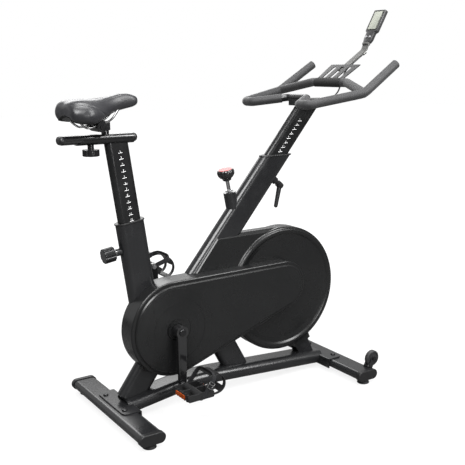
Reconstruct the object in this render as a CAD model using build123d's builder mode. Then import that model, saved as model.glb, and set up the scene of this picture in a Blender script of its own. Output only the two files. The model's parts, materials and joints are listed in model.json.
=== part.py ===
from build123d import *
import os
from math import atan2, cos, degrees, hypot, pi, radians, sin, tan

os.makedirs("parts", exist_ok=True)

# Exercise bike. Millimetres. +X is forward, +Y is the rider's left, +Z is up. The drive side, with the belt
# cover, is the right side (-Y). Places along the bike are measured from midway between the two stabilizers,
# and each finished piece is then shifted so that the origin is on the floor, at the middle of its length.

# ---------------------------------------------------------------- fits
run_fit = 0.05          # radial gap of a shaft, pin or bolt in its bore
slide_gap = 0.3         # gap between curved or sliding faces of two pieces that move past each other
cover_gap = 1.0         # gap between a cover and the frame tube that passes through it
snug = 0.1              # gap between two fixed pieces that plug into each other

# ---------------------------------------------------------------- ground frame
stabilizer_reach = 407  # bike centre to each stabilizer's centre line
stabilizer_length = 500
stabilizer_width = 78
stabilizer_height = 29
stabilizer_wall = 2
stabilizer_clear = 17.6  # floor to the underside of a stabilizer
cap_wall = 2.5
cap_length = 16
cap_plug = 14
foot_radius = 21
foot_height = 13
foot_taper = 4
foot_edge = 1.5
foot_y = 225
foot_stem_radius = 4
foot_stem_rise = 14
foot_nut_flats = 13

base_width = 90
base_height = 45
base_wall = 2.5
base_end_height = 37    # floor to the base tube's centre line at its two ends
base_bend_x = -133
base_bend_height = 70.6
base_bend_radius = 800
base_lap = 10           # how far the base tube's upper edge laps onto a bracket

bracket_thick = 4
bracket_half_length = 96
bracket_reach = 16      # past the stabilizer's centre line
bracket_corner = 16
bracket_drop = 34
bracket_bolt_y = 67
bolt_radius = 4
bolt_head_radius = 8
bolt_head_height = 4.5
bolt_length = 18

wheel_x = 45            # transport wheel's axis, ahead of the front stabilizer's centre line
wheel_z = 75
wheel_y = 216
wheel_radius = 27
wheel_width = 16
wheel_bore = 4
wheel_cheek = 4
wheel_cheek_radius = 9
wheel_cheek_x = 25     # cheek's foot, ahead of the front stabilizer's centre line
wheel_cheek_z = 40
wheel_recess = 3
wheel_hub_radius = 10
wheel_tread = 5         # from the recess to the rim
wheel_pin_head = 7
wheel_pin_head_height = 3

# ---------------------------------------------------------------- upright tubes
tube_wall = 2.5
seat_tube_width = 90
seat_tube_thick = 42
seat_mouth_x = -336.6
seat_mouth_z = 606.4
seat_lean = 98.1
main_tube_width = 90
main_tube_thick = 42
bar_mouth_x = 196.7
bar_mouth_z = 766
bar_lean = 50.24
rear_strut_width = 88
rear_strut_thick = 40
rear_strut_x = -308.5
rear_strut_z = 120
rear_strut_lean = 53.8
front_strut_width = 85
front_strut_thick = 40
front_strut_x = 20
front_strut_z = 97
front_strut_lean = 118.4

# ---------------------------------------------------------------- drive
crank_x = -225
crank_z = 270
shell_radius = 22
shell_bore = 20
shell_half = 36
crank_axle_radius = 10
crank_length = 168
right_arm_y = 92        # inner face of the right crank arm
left_arm_y = 62         # inner face of the left crank arm
arm_thick = 16
arm_root_width = 32
arm_tip_width = 25
crank_boss_radius = 20
crank_cap_radius = 11
crank_cap_height = 4
crank_boss = 14          # how far an arm's hub reaches inward
arm_round = 4
bearing_width = 8
belt_y = 47
belt_width = 11
belt_thick = 3
crank_pulley_radius = 112
small_pulley_radius = 28
pulley_flange = 2

flywheel_x = 212
flywheel_z = 317
flywheel_radius = 188
flywheel_rim = 34
flywheel_thick = 24
flywheel_web = 10
flywheel_hub_radius = 30
flywheel_shaft_radius = 8.5
flywheel_bearing_radius = 17.5
fork_inner = 15         # middle plane to the inner face of a fork leg
fork_plate = 4
fork_boss_radius = 22
fork_boss_inner = 13
fork_boss_outer = 21
fork_foot_x = 335
fork_foot_width = 52

# ---------------------------------------------------------------- covers
cover_wall = 2.5
fly_cover_x = 214
fly_cover_z = 316
fly_cover_radius = 213
fly_cover_half = 25     # middle plane to the flat faces of the flywheel cover
fly_rim_crest = 31      # middle plane to the crest of its rim
fly_rim_inner = 197
fly_dish_radius = 172
fly_dish_depth = 24
fly_hole_radius = 24
fly_rim_round = 8
fly_dish_round = 5
bridge_top_z = 528
bridge_top_x = -47
bridge_low_x = -165
bridge_low_z = 382
bridge_low_turn = 35    # degrees below level where the bridge's lower edge meets the rim
bridge_bevel = 10
tail_half_width = 34
tail_reach = 232
belt_cover_rear = 150
belt_cover_front = 82
belt_cover_front_x = 193
belt_cover_front_z = 340
belt_cover_face = 72    # middle plane to the raised face of the belt cover
belt_cover_flange = 66
belt_cover_inset = 12
belt_cover_back = 3     # how far the inner half reaches past the middle plane
belt_cover_split = 24.6
belt_cover_round = 5
crank_collar_outer = 30
crank_collar_rise = 5
ring_outer = 129
ring_count = 4
ring_pitch = 26
ring_width = 2.4
ring_height = 0.8

# ---------------------------------------------------------------- resistance
brake_cross = 252       # bar tube's mouth down its axis to where the brake rod crosses it
brake_lean = 101.5
brake_boss_radius = 20
brake_boss_top = 92     # along the rod, from the crossing
brake_rod_radius = 5
brake_guide_radius = 8
brake_push = 3          # emergency travel of the knob
brake_turn_travel = 2.5  # travel of the pad over the knob's whole turn
brake_clear = 1.0       # what is left between the pad and the rim at full travel
knob_radius = 28
knob_height = 30
knob_top = 168
knob_neck_radius = 15
knob_flute = 5
knob_flutes = 10
brake_collar_radius = 12
brake_collar = 4
brake_reach = 108       # from the crossing down to the rod's end
guide_length = 14
guide_foot = 50
pad_thick = 9
pad_half_angle = 6
pad_half_width = 9
carrier_thick = 4
carrier_neck_radius = 8
carrier_neck = 24

# ---------------------------------------------------------------- posts
post_width = 72
post_thick = 30
post_wall = 2
post_insert = 115
bar_insert = 99
lip_height = 4
lip_proud = 2.5
bushing_depth = 50
seat_bracket_z = 841    # underside of the saddle's slide bracket
head_z = 926            # underside of the handlebar's head block
pin_drop = 80.7         # seat tube's mouth down to the locking pin
pin_radius = 4
pin_hole_pitch = 20
pin_holes = 9
pin_boss_radius = 11
pin_boss_length = 12
pin_knob_radius = 22.5
pin_knob_length = 34
pin_collar_radius = 8
pin_knob_gap = 10       # from the boss to the knob, room for the knob's thread and spring
lever_drop = 63.2
lever_boss_radius = 12
lever_boss_length = 11
lever_screw_radius = 5
lever_collar_radius = 8
lever_collar = 12
lever_hub_radius = 11
lever_hub = 22
lever_arm = 70
lever_arm_lean = 63
lever_arm_radius = 6.5

# ---------------------------------------------------------------- saddle
slide_width = 40
slide_height = 25
slide_wall = 2
slide_rear = -545
slide_front = -308
slide_cap = 12
slide_travel = 40
channel_thick = 3
channel_rear = -492
channel_front = -320
channel_height = 14
channel_slant = 14
clamp_x = -448
clamp_screw_radius = 5
clamp_knob_radius = 24
clamp_knob_height = 19
clamp_neck_radius = 9
clamp_neck = 13
plate_length = 60
plate_thick = 5
stub_x = -402
stub_radius = 11
stub_height = 36        # above the top of the slide
band_wall = 4
band_height = 22
tilt_x = -424
tilt_z = 891
tilt_bolt_radius = 4
tilt_bolt_half = 36
ear_half = 15.5
jaw_radius = 15
rail_radius = 3.5
rail_lift = 10.5        # from the tilt bolt to the rail
rail_bend = 12
socket_length = 12
saddle_rear = -570
saddle_pan = 5
saddle_socket = 7

# ---------------------------------------------------------------- handlebar
block_rear = 272
block_front = 405
block_width = 62
block_height = 21
block_round = 8
cable_inlet = 12
bar_radius = 12
foam_radius = 14.5
cross_x = 292
cross_z = 951
cross_half = 48
fork_x = 381
fork_y = 219
fork_z = 968
horn_x = 519
horn_y = 210
horn_z = 1055
horn_cap = 4
loop_x = 196
loop_z = 936
loop_outer_y = 172
loop_inner_y = 126
loop_bend = 20
fork_bend = 70
cross_bend = 25
bridge_bend = 35
bridge_x = 425
bridge_y = 87
bridge_z = 998
tray_low_x = 418
tray_low_z = 1002
tray_high_x = 497
tray_high_z = 1054
tray_low_half = 65
tray_high_half = 73
tray_thick = 3
tray_slots = 3
tray_slot_width = 16
tray_slot_pitch = 38
tray_slot_margin = 13
arm_width = 28
arm_thickness = 4
arm_overlap = 30        # how far the arm lies along the tray's back
arm_reach = 97          # from the tray's top edge to the arm's bend
arm_bend = 12
hinge_x = 588
hinge_z = 1126
hinge_radius = 7
hinge_half = 13
hinge_gap = 1
console_lean = 60
console_width = 57
console_depth = 23
console_length = 129
console_low_x = 583
console_low_z = 1131
console_corner = 5
console_edge = 2.5
screen_length = 74
screen_width = 45
screen_from = 46
screen_thick = 1.6
button_radius = 4
button_rise = 1.5
button_from = 22
button_pitch = 18
button_travel = 1
button_depth = 5
cable_radius = 2.5
cable_y = -10
gland_radius = 5
gland_grip = 5
gland_length = 8

# ---------------------------------------------------------------- pedals
pedal_radius = 7        # spindle
pedal_width = 96
pedal_gap = 9           # crank arm to pedal
pedal_wall = 4          # pedal's closed outer end
spindle_collar = 9
pedal_reach = 44        # spindle to the front and rear rails' outer faces
pedal_rail = 8
pedal_rail_height = 20
pedal_barrel = 12
pedal_plate = 6
pedal_teeth = 6
pedal_tooth_depth = 4
left_pedal_dip = 35     # degrees that the left pedal hangs nose-down at rest
cage_wall = 3
cage_width = 70
cage_front = 112        # from the spindle to the cage's front
cage_chin = 20
cage_brow = 52
cage_lift = 6
cage_top_x = 60
cage_top = 66
cage_bend = 12
cage_window = 20
cage_window_y = 17
cage_windows = [(50, 90, -24, 4), (98, 124, 14, 42), (70, 92, 48, 76)]
strap_wall = 1.6
strap_width = 18
strap_lean = 55
strap_foot_x = 15       # middle of the strap's foot, ahead of the spindle and above it
strap_foot_z = 6
strap_length = 85
reflector_length = 50
reflector_height = 12
reflector_thick = 3

# ---------------------------------------------------------------- worked out from the sizes
stabilizer_mid = stabilizer_clear + stabilizer_height / 2
stabilizer_top = stabilizer_clear + stabilizer_height
stabilizer_half = stabilizer_length / 2 - cap_wall
plate_top = stabilizer_top + bracket_thick
flange_x = stabilizer_reach - stabilizer_width / 2 - bracket_thick
base_end_x = flange_x + bracket_thick + base_lap


def up_tube(x, z, lean):
    """Plane across a tube in the bike's middle plane; its normal runs up the tube."""
    turn = radians(lean)
    return Plane(origin=(x, 0, z), x_dir=(sin(turn), 0, -cos(turn)), z_dir=(cos(turn), 0, sin(turn)))


def point(plane, along, across=0, side=0):
    """Point at a distance along a tube, across it (forwards) and to its side."""
    return plane.from_local_coords(Vector(across, side, along))


def turned(plane, along, lean):
    """Plane like up_tube, at a distance along another tube."""
    spot = point(plane, along)
    return up_tube(spot.X, spot.Z, lean)


def crossing(plane, other):
    """Distance along one tube to where its axis crosses another's."""
    step = other.origin - plane.origin
    turn = plane.z_dir.X * other.z_dir.Z - plane.z_dir.Z * other.z_dir.X
    return (step.X * other.z_dir.Z - step.Z * other.z_dir.X) / turn


def oval_bar(plane, width, thick, start, end):
    """Solid of flat-oval section along a tube's axis."""
    with BuildPart() as shape:
        with BuildSketch(plane.offset(start)):
            SlotOverall(width, thick)
        extrude(amount=end - start)
    return shape.part


def round_bar(plane, radius, start, end):
    """Solid round bar along a plane's normal."""
    with BuildPart() as shape:
        with BuildSketch(plane.offset(start)):
            Circle(radius)
        extrude(amount=end - start)
    return shape.part


def cross_bar(x, z, radius, y_from, y_to):
    """Solid round bar across the bike, between two distances to the right of its middle plane."""
    return round_bar(Plane.XZ.offset(y_from).shift_origin((x, -y_from, z)), radius, 0, y_to - y_from)


def lobe(x1, z1, r1, x2, z2, r2):
    """Outline of a guard or belt round two wheels, in the bike's middle plane."""
    with BuildSketch() as shape:
        with Locations((x1, z1)):
            Circle(r1)
        with Locations((x2, z2)):
            Circle(r2)
        make_hull()
    return shape.sketch


def turned_about(x, z, side, outline):
    """Body of revolution about an axis across the bike; outline is (radius, distance to the right) points."""
    with BuildPart() as body:
        with BuildSketch(Plane.XY.offset(z)):
            with BuildLine():
                Polyline(*[(x + r, -side * y) for r, y in outline], close=True)
            make_face()
        revolve(axis=Axis((x, 0, z), (0, 1, 0)))
    return body.part


def keep(part, name):
    """Shift a finished piece so that the bike's middle is at the origin, label it and write its file."""
    to_middle = Location((-middle_x, 0, 0))
    placed = Compound([solid.moved(to_middle) for solid in part.solids()])
    placed.label = name
    export_step(placed, f"parts/{name}.step")


console_front = (console_low_x + console_length * cos(radians(console_lean))
                 + console_depth * sin(radians(console_lean)))
middle_x = (saddle_rear + console_front) / 2

seat_axis = up_tube(seat_mouth_x, seat_mouth_z, seat_lean)
bar_axis = up_tube(bar_mouth_x, bar_mouth_z, bar_lean)
rear_axis = up_tube(rear_strut_x, rear_strut_z, rear_strut_lean)
front_axis = up_tube(front_strut_x, front_strut_z, front_strut_lean)
crank_along = (Vector(crank_x, 0, crank_z) - bar_axis.origin).dot(bar_axis.z_dir)
mitre = bar_axis.offset(crank_along)

# ================================================================ ground frame
# Stabilizers: flat-oval steel tubes with a hole for each foot's stem and for the bracket bolts.


def stabilizer(x):
    with BuildPart() as tube:
        with BuildSketch(Plane.XZ.offset(-stabilizer_half)):
            with Locations((x, stabilizer_mid)):
                SlotOverall(stabilizer_width, stabilizer_height)
                SlotOverall(stabilizer_width - 2 * stabilizer_wall,
                            stabilizer_height - 2 * stabilizer_wall, mode=Mode.SUBTRACT)
        extrude(amount=2 * stabilizer_half)
        with Locations((x, -foot_y, stabilizer_clear), (x, foot_y, stabilizer_clear)):
            Cylinder(foot_stem_radius + run_fit, 3 * stabilizer_wall, mode=Mode.SUBTRACT)
        with Locations((x, -bracket_bolt_y, stabilizer_top), (x, bracket_bolt_y, stabilizer_top)):
            Cylinder(bolt_radius + snug, 3 * stabilizer_wall, mode=Mode.SUBTRACT)
    return tube.part


rear_stabilizer = stabilizer(-stabilizer_reach)
front_stabilizer = stabilizer(stabilizer_reach)
keep(Compound(children=[rear_stabilizer, front_stabilizer]), "stabilizers")


# End caps: plastic cups over the tube's ends with a plug inside.
def end_caps(x):
    with BuildPart() as caps:
        for side in (-1, 1):
            outer = Plane(origin=(x, side * stabilizer_length / 2, stabilizer_mid),
                          x_dir=(1, 0, 0), z_dir=(0, -side, 0))
            with BuildSketch(outer):
                SlotOverall(stabilizer_width + 2 * cap_wall, stabilizer_height + 2 * cap_wall)
            extrude(amount=cap_length)
            end_face = caps.faces().sort_by(Axis.Y)[-1 if side > 0 else 0]
            fillet(end_face.edges(), cap_wall * 0.8)
            with BuildSketch(outer.offset(cap_wall)):
                SlotOverall(stabilizer_width + 2 * snug, stabilizer_height + 2 * snug)
            extrude(amount=cap_length, mode=Mode.SUBTRACT)
            with BuildSketch(outer.offset(cap_wall)):
                SlotOverall(stabilizer_width - 2 * (stabilizer_wall + snug),
                            stabilizer_height - 2 * (stabilizer_wall + snug))
            extrude(amount=cap_plug)
    return caps.part


keep(Compound(children=[end_caps(-stabilizer_reach), end_caps(stabilizer_reach)]), "stabilizer_caps")

# Weld brackets: a bent plate over each stabilizer, its flange down the side that faces the bike's middle.


def end_bracket(side):
    with BuildPart() as plate:
        with BuildSketch(Plane.XZ.offset(-bracket_half_length)):
            with BuildLine():
                Polyline((side * (stabilizer_reach + bracket_reach), plate_top),
                         (side * flange_x, plate_top),
                         (side * flange_x, plate_top - bracket_drop),
                         (side * (flange_x + bracket_thick), plate_top - bracket_drop),
                         (side * (flange_x + bracket_thick), stabilizer_top),
                         (side * (stabilizer_reach + bracket_reach), stabilizer_top), close=True)
            make_face()
        extrude(amount=2 * bracket_half_length)
        long_edges = plate.edges().filter_by(Axis.Y).group_by(Axis.Z)[-1]
        fillet(long_edges.sort_by(Axis.X)[0 if side > 0 else -1], bracket_thick)
        upright = plate.edges().filter_by(Axis.Z).group_by(Axis.X)[-1 if side > 0 else 0]
        fillet(upright, bracket_corner)
        with Locations((side * stabilizer_reach, -bracket_bolt_y, plate_top),
                       (side * stabilizer_reach, bracket_bolt_y, plate_top)):
            Cylinder(bolt_radius + snug, 3 * bracket_thick, mode=Mode.SUBTRACT)
    return plate.part



# Feet: turned pads on threaded stems, with a nut under the tube.


def foot(x, y):
    """One levelling foot, standing on the floor."""
    upright = (Align.CENTER, Align.CENTER, Align.MIN)
    with BuildPart() as pad:
        with Locations((x, y, 0)):
            Cone(foot_radius, foot_radius - foot_taper, foot_height, align=upright)
            Cylinder(foot_stem_radius, stabilizer_clear + foot_stem_rise, align=upright)
        with BuildSketch(Plane.XY.offset(foot_height)):
            with Locations((x, y)):
                RegularPolygon(foot_nut_flats / 2, 6, major_radius=False)
        extrude(amount=stabilizer_clear - slide_gap - foot_height)
        fillet(pad.faces().sort_by(Axis.Z)[0].edges(), foot_edge)
    return pad.part


for end, x in (("rear", -stabilizer_reach), ("front", stabilizer_reach)):
    keep(foot(x, -foot_y), f"foot_{end}_right")
    keep(foot(x, foot_y), f"foot_{end}_left")

# Transport wheels at the front corners, each between two cheeks welded to the stabilizer.
wheel_axis_x = stabilizer_reach + wheel_x
cheek_inner = wheel_width / 2 + slide_gap
cheek_outer = cheek_inner + wheel_cheek


def wheel(y):
    half = wheel_width / 2
    dish = half - wheel_recess
    return turned_about(wheel_axis_x, wheel_z, 1, [
        (wheel_bore + run_fit, half - y), (wheel_hub_radius, half - y), (wheel_hub_radius, dish - y),
        (wheel_radius - wheel_tread, dish - y), (wheel_radius - wheel_tread, half - y),
        (wheel_radius - wheel_recess, half - y), (wheel_radius, dish - y), (wheel_radius, -dish - y),
        (wheel_radius - wheel_recess, -half - y), (wheel_radius - wheel_tread, -half - y),
        (wheel_radius - wheel_tread, -dish - y), (wheel_hub_radius, -dish - y),
        (wheel_hub_radius, -half - y), (wheel_bore + run_fit, -half - y)])


def wheel_cheek_plate(y_from):
    with BuildPart() as plate:
        with BuildSketch(Plane.XZ.offset(y_from)):
            with Locations((wheel_axis_x, wheel_z), (stabilizer_reach + wheel_cheek_x, wheel_cheek_z)):
                Circle(wheel_cheek_radius)
            make_hull()
        extrude(amount=wheel_cheek)
        with BuildSketch(Plane.XZ.offset(y_from)):
            with Locations((stabilizer_reach, stabilizer_mid)):
                SlotOverall(stabilizer_width + 2 * snug, stabilizer_height + 2 * snug)
            with Locations((wheel_axis_x, wheel_z)):
                Circle(wheel_bore + snug)
        extrude(amount=wheel_cheek, mode=Mode.SUBTRACT)
    return plate.part


keep(wheel(-wheel_y), "transport_wheel_right")
keep(wheel(wheel_y), "transport_wheel_left")
wheel_cheeks = [wheel_cheek_plate(middle + start) for middle in (-wheel_y, wheel_y)
                for start in (cheek_inner, -cheek_outer)]
keep(Compound(children=[end_bracket(-1), end_bracket(1)] + wheel_cheeks), "end_brackets")

# Fasteners: button-head bolts in the brackets, and the wheels' axle pins.
with BuildPart() as fasteners:
    for x in (-stabilizer_reach, stabilizer_reach):
        for y in (-bracket_bolt_y, bracket_bolt_y):
            with Locations((x, y, plate_top)):
                Cylinder(bolt_head_radius, bolt_head_height, align=(Align.CENTER, Align.CENTER, Align.MIN))
                Cylinder(bolt_radius, bolt_length, align=(Align.CENTER, Align.CENTER, Align.MAX))
    crowns = fasteners.faces().group_by(Axis.Z)[-1]
    fillet(crowns.edges(), bolt_head_height / 2)
    for middle in (-wheel_y, wheel_y):
        add(cross_bar(wheel_axis_x, wheel_z, wheel_bore, middle - cheek_outer, middle + cheek_outer))
        for start in (middle - cheek_outer - wheel_pin_head_height, middle + cheek_outer):
            add(cross_bar(wheel_axis_x, wheel_z, wheel_pin_head, start, start + wheel_pin_head_height))
keep(fasteners.part, "fasteners")


# Base tube: a flat-oval tube with one long bend, its upper edge lapped onto the brackets.
def base_solid(width, height):
    with BuildPart() as bar:
        with BuildLine(Plane.XZ) as route:
            FilletPolyline((-base_end_x, base_end_height), (base_bend_x, base_bend_height),
                           (base_end_x, base_end_height), radius=base_bend_radius)
        with BuildSketch(Plane(origin=route.line @ 0, x_dir=(0, 1, 0), z_dir=route.line % 0)):
            SlotOverall(width, height)
        sweep()
    return bar.part


base_core = base_solid(base_width, base_height)
base_bore = base_solid(base_width - 2 * base_wall, base_height - 2 * base_wall)
with BuildPart() as base_tube:
    add(base_core)
    add(base_bore, mode=Mode.SUBTRACT)
    for way in (-1, 1):
        with Locations((way * (flange_x + base_width), 0, plate_top - base_width)):
            Box(2 * base_width, 2 * base_width, 2 * base_width, mode=Mode.SUBTRACT)
keep(base_tube.part, "base_tube")

# ================================================================ upright frame
# Bottom bracket shell, across the frame where the main tube and the rear strut are mitred together.
shell_core = cross_bar(crank_x, crank_z, shell_radius, -shell_half, shell_half)

# Main tube: carries the handlebar post, cut level at its mouth, with the shell, the brake rod's boss and the
# clamp lever's boss welded to it.
brake_axis = turned(bar_axis, -brake_cross, brake_lean)
lever_axis = Plane(origin=point(bar_axis, -lever_drop), x_dir=bar_axis.z_dir, z_dir=bar_axis.x_dir)
main_core = oval_bar(bar_axis, main_tube_width, main_tube_thick, crank_along, main_tube_width)
main_bore = oval_bar(bar_axis, main_tube_width - 2 * tube_wall, main_tube_thick - 2 * tube_wall,
                     crank_along, main_tube_width)
brake_boss = round_bar(brake_axis, brake_boss_radius, 0, brake_boss_top)
lever_boss_face = main_tube_width / 2 + lever_boss_length
with BuildPart() as main_tube:
    add(main_core)
    add(brake_boss)
    add(round_bar(lever_axis, lever_boss_radius, 0, lever_boss_face))
    add(shell_core)
    add(main_bore, mode=Mode.SUBTRACT)
    add(round_bar(brake_axis, brake_guide_radius, -main_tube_width, brake_boss_top), mode=Mode.SUBTRACT)
    add(round_bar(lever_axis, lever_screw_radius + run_fit, 0, lever_boss_face), mode=Mode.SUBTRACT)
    split(bisect_by=Plane.XY.offset(bar_mouth_z), keep=Keep.BOTTOM)
    add(shell_core)
    add(cross_bar(crank_x, crank_z, shell_bore, -shell_half, shell_half), mode=Mode.SUBTRACT)
keep(main_tube.part, "main_tube")

# Rear strut: runs on from the mitre at the shell down to the base tube and the rear bracket.
rear_top = crossing(rear_axis, bar_axis) + rear_strut_width
rear_core = oval_bar(rear_axis, rear_strut_width, rear_strut_thick, -rear_strut_width, 3 * rear_strut_width)
rear_bore = oval_bar(rear_axis, rear_strut_width - 2 * tube_wall, rear_strut_thick - 2 * tube_wall,
                     -rear_strut_width, 3 * rear_strut_width)
with BuildPart() as rear_strut_outer:
    add(rear_core)
    split(bisect_by=mitre, keep=Keep.BOTTOM)
    split(bisect_by=Plane.XY.offset(plate_top), keep=Keep.TOP)
with BuildPart() as rear_strut:
    add(rear_strut_outer.part)
    add(rear_bore, mode=Mode.SUBTRACT)
    add(base_core, mode=Mode.SUBTRACT)
    add(shell_core, mode=Mode.SUBTRACT)

# Seat tube: coped onto the main tube and the rear strut.
seat_foot = crossing(seat_axis, rear_axis)
seat_core = oval_bar(seat_axis, seat_tube_width, seat_tube_thick, seat_foot, 0)
pin_axis = Plane(origin=point(seat_axis, -pin_drop), x_dir=seat_axis.z_dir, z_dir=-seat_axis.x_dir)
pin_boss_face = seat_tube_width / 2 + pin_boss_length
with BuildPart() as seat_tube:
    add(seat_core)
    add(round_bar(pin_axis, pin_boss_radius, 0, pin_boss_face))
    add(oval_bar(seat_axis, seat_tube_width - 2 * tube_wall, seat_tube_thick - 2 * tube_wall, seat_foot, 0),
        mode=Mode.SUBTRACT)
    add(round_bar(pin_axis, pin_radius + run_fit, 0, pin_boss_face), mode=Mode.SUBTRACT)
    add(main_core, mode=Mode.SUBTRACT)
    add(rear_strut_outer.part, mode=Mode.SUBTRACT)
    add(shell_core, mode=Mode.SUBTRACT)
keep(seat_tube.part, "seat_tube")

# Front strut: from the base tube back and up to the main tube's underside.
front_top = crossing(front_axis, bar_axis)
front_foot = (base_bend_height - base_height / 4 - front_strut_z) / front_axis.z_dir.Z
front_core = oval_bar(front_axis, front_strut_width, front_strut_thick, front_foot, front_top)
with BuildPart() as front_strut:
    add(front_core)
    add(oval_bar(front_axis, front_strut_width - 2 * tube_wall, front_strut_thick - 2 * tube_wall,
                 front_foot, front_top), mode=Mode.SUBTRACT)
    add(base_core, mode=Mode.SUBTRACT)
    add(main_core, mode=Mode.SUBTRACT)
keep(Compound(children=[rear_strut.part, front_strut.part]), "struts")

# Post bushings: plastic sleeves in the two mouths, with a lip that hides the tube's edge.


def bushing(axis, width, thick, mouth):
    with BuildPart() as lip:
        add(oval_bar(axis, width + 2 * lip_proud, thick + 2 * lip_proud, -2 * width, 2 * width))
        split(bisect_by=mouth.offset(lip_height), keep=Keep.BOTTOM)
        split(bisect_by=mouth, keep=Keep.TOP)
        top_face = lip.faces().sort_by(Axis(mouth.origin, mouth.z_dir))[-1]
        fillet(top_face.edges(), lip_height / 3)
    with BuildPart() as sleeve:
        add(oval_bar(axis, width - 2 * (tube_wall + snug), thick - 2 * (tube_wall + snug),
                     -bushing_depth, 2 * width))
        split(bisect_by=mouth, keep=Keep.BOTTOM)
        add(lip.part)
        add(oval_bar(axis, post_width + 2 * slide_gap, post_thick + 2 * slide_gap, -2 * width, 2 * width),
            mode=Mode.SUBTRACT)
    return sleeve.part


seat_mouth = seat_axis
bar_mouth = Plane(origin=bar_axis.origin, x_dir=(1, 0, 0), z_dir=(0, 0, 1))
post_bushings = Compound(children=[bushing(seat_axis, seat_tube_width, seat_tube_thick, seat_mouth),
                                   bushing(bar_axis, main_tube_width, main_tube_thick, bar_mouth)])
keep(post_bushings, "post_bushings")

# ================================================================ drive
# Crank: axle in two bearings, toothless belt pulley, two arms and their screw caps.
right_end = right_arm_y + arm_thick
left_end = left_arm_y + arm_thick
crank_core = cross_bar(crank_x, crank_z, crank_axle_radius, -left_end, right_end)
with BuildPart() as crank_axle:
    add(crank_core)

with BuildPart() as crank_bearings:
    for start in (-shell_half, shell_half - bearing_width):
        add(cross_bar(crank_x, crank_z, shell_bore, start, start + bearing_width))
    add(cross_bar(crank_x, crank_z, crank_axle_radius + run_fit, -left_end, right_end), mode=Mode.SUBTRACT)

belt_near = belt_y + belt_width / 2
belt_far = belt_y - belt_width / 2
with BuildPart() as crank_pulley:
    add(cross_bar(crank_x, crank_z, crank_pulley_radius, belt_far, belt_near))
    add(cross_bar(crank_x, crank_z, crank_pulley_radius - 8, belt_far, belt_y - pulley_flange),
        mode=Mode.SUBTRACT)
    add(cross_bar(crank_x, crank_z, crank_pulley_radius - 8, belt_y + pulley_flange, belt_near),
        mode=Mode.SUBTRACT)
    with BuildSketch(Plane.XZ.offset(belt_far)):
        with Locations((crank_x, crank_z)):
            with PolarLocations(crank_pulley_radius * 0.6, 6):
                Circle(crank_pulley_radius * 0.16)
    extrude(amount=belt_width, mode=Mode.SUBTRACT)
    add(cross_bar(crank_x, crank_z, crank_boss_radius, belt_far, belt_near))
    add(crank_core, mode=Mode.SUBTRACT)
keep(crank_pulley.part, "crank_pulley")


def crank_arm(inner, outward, direction):
    """Crank arm; inner is its inner face's distance from the middle plane, outward is 1 on the right side
    and -1 on the left, direction is -1 down or 1 up."""
    tip_z = crank_z + direction * crank_length
    ends = sorted((outward * inner, outward * (inner + arm_thick)))
    hub_ends = sorted((outward * (inner - crank_boss), outward * (inner + arm_thick)))
    with BuildPart() as arm:
        with BuildSketch(Plane.XZ.offset(ends[0])):
            with Locations((crank_x, crank_z)):
                Circle(arm_root_width / 2)
            with Locations((crank_x, tip_z)):
                Circle(arm_tip_width / 2)
            make_hull()
        extrude(amount=arm_thick)
        face_edges = arm.edges().group_by(Axis.Y)
        fillet(face_edges[0] + face_edges[-1], arm_round)
        add(cross_bar(crank_x, crank_z, crank_boss_radius, *hub_ends))
        add(crank_core, mode=Mode.SUBTRACT)
        add(cross_bar(crank_x, tip_z, pedal_radius, *ends), mode=Mode.SUBTRACT)
    return arm.part


keep(Compound(children=[crank_arm(right_arm_y, 1, -1), crank_arm(left_arm_y, -1, 1)]), "crank_arms")

# Screw caps over the crank bolts.
with BuildPart() as crank_caps:
    for start in (-left_end - crank_cap_height, right_end):
        add(cross_bar(crank_x, crank_z, crank_cap_radius, start, start + crank_cap_height))
    outer_faces = crank_caps.faces().sort_by(Axis.Y)
    fillet(outer_faces[0].edges() + outer_faces[-1].edges(), crank_cap_height / 2)
keep(Compound(children=[crank_axle.part, crank_caps.part]), "crank_axle")

# Pedal spindles: screwed into the arms' ends, with a collar against the arm.
right_pedal_z = crank_z - crank_length
left_pedal_z = crank_z + crank_length
spindle_reach = pedal_gap + pedal_width - 2 * pedal_wall
with BuildPart() as pedal_spindles:
    add(cross_bar(crank_x, right_pedal_z, pedal_radius, right_arm_y, right_end + spindle_reach))
    add(cross_bar(crank_x, right_pedal_z, spindle_collar, right_end, right_end + pedal_gap - slide_gap))
    add(cross_bar(crank_x, left_pedal_z, pedal_radius, -left_end - spindle_reach, -left_arm_y))
    add(cross_bar(crank_x, left_pedal_z, spindle_collar, -left_end - pedal_gap + slide_gap, -left_end))
keep(pedal_spindles.part, "pedal_spindles")

# Flywheel: heavy rim, thin web with a hub, turned in one piece.
half_rim = flywheel_thick / 2
half_web = flywheel_web / 2
rim_foot = flywheel_radius - flywheel_rim
with BuildPart() as flywheel:
    add(turned_about(flywheel_x, flywheel_z, 1, [
        (flywheel_shaft_radius, half_rim), (flywheel_hub_radius, half_rim),
        (flywheel_hub_radius + half_web, half_web), (rim_foot - half_web, half_web),
        (rim_foot, half_rim), (flywheel_radius, half_rim),
        (flywheel_radius, -half_rim), (rim_foot, -half_rim),
        (rim_foot - half_web, -half_web), (flywheel_hub_radius + half_web, -half_web),
        (flywheel_hub_radius, -half_rim), (flywheel_shaft_radius, -half_rim)]))
keep(flywheel.part, "flywheel")

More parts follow.
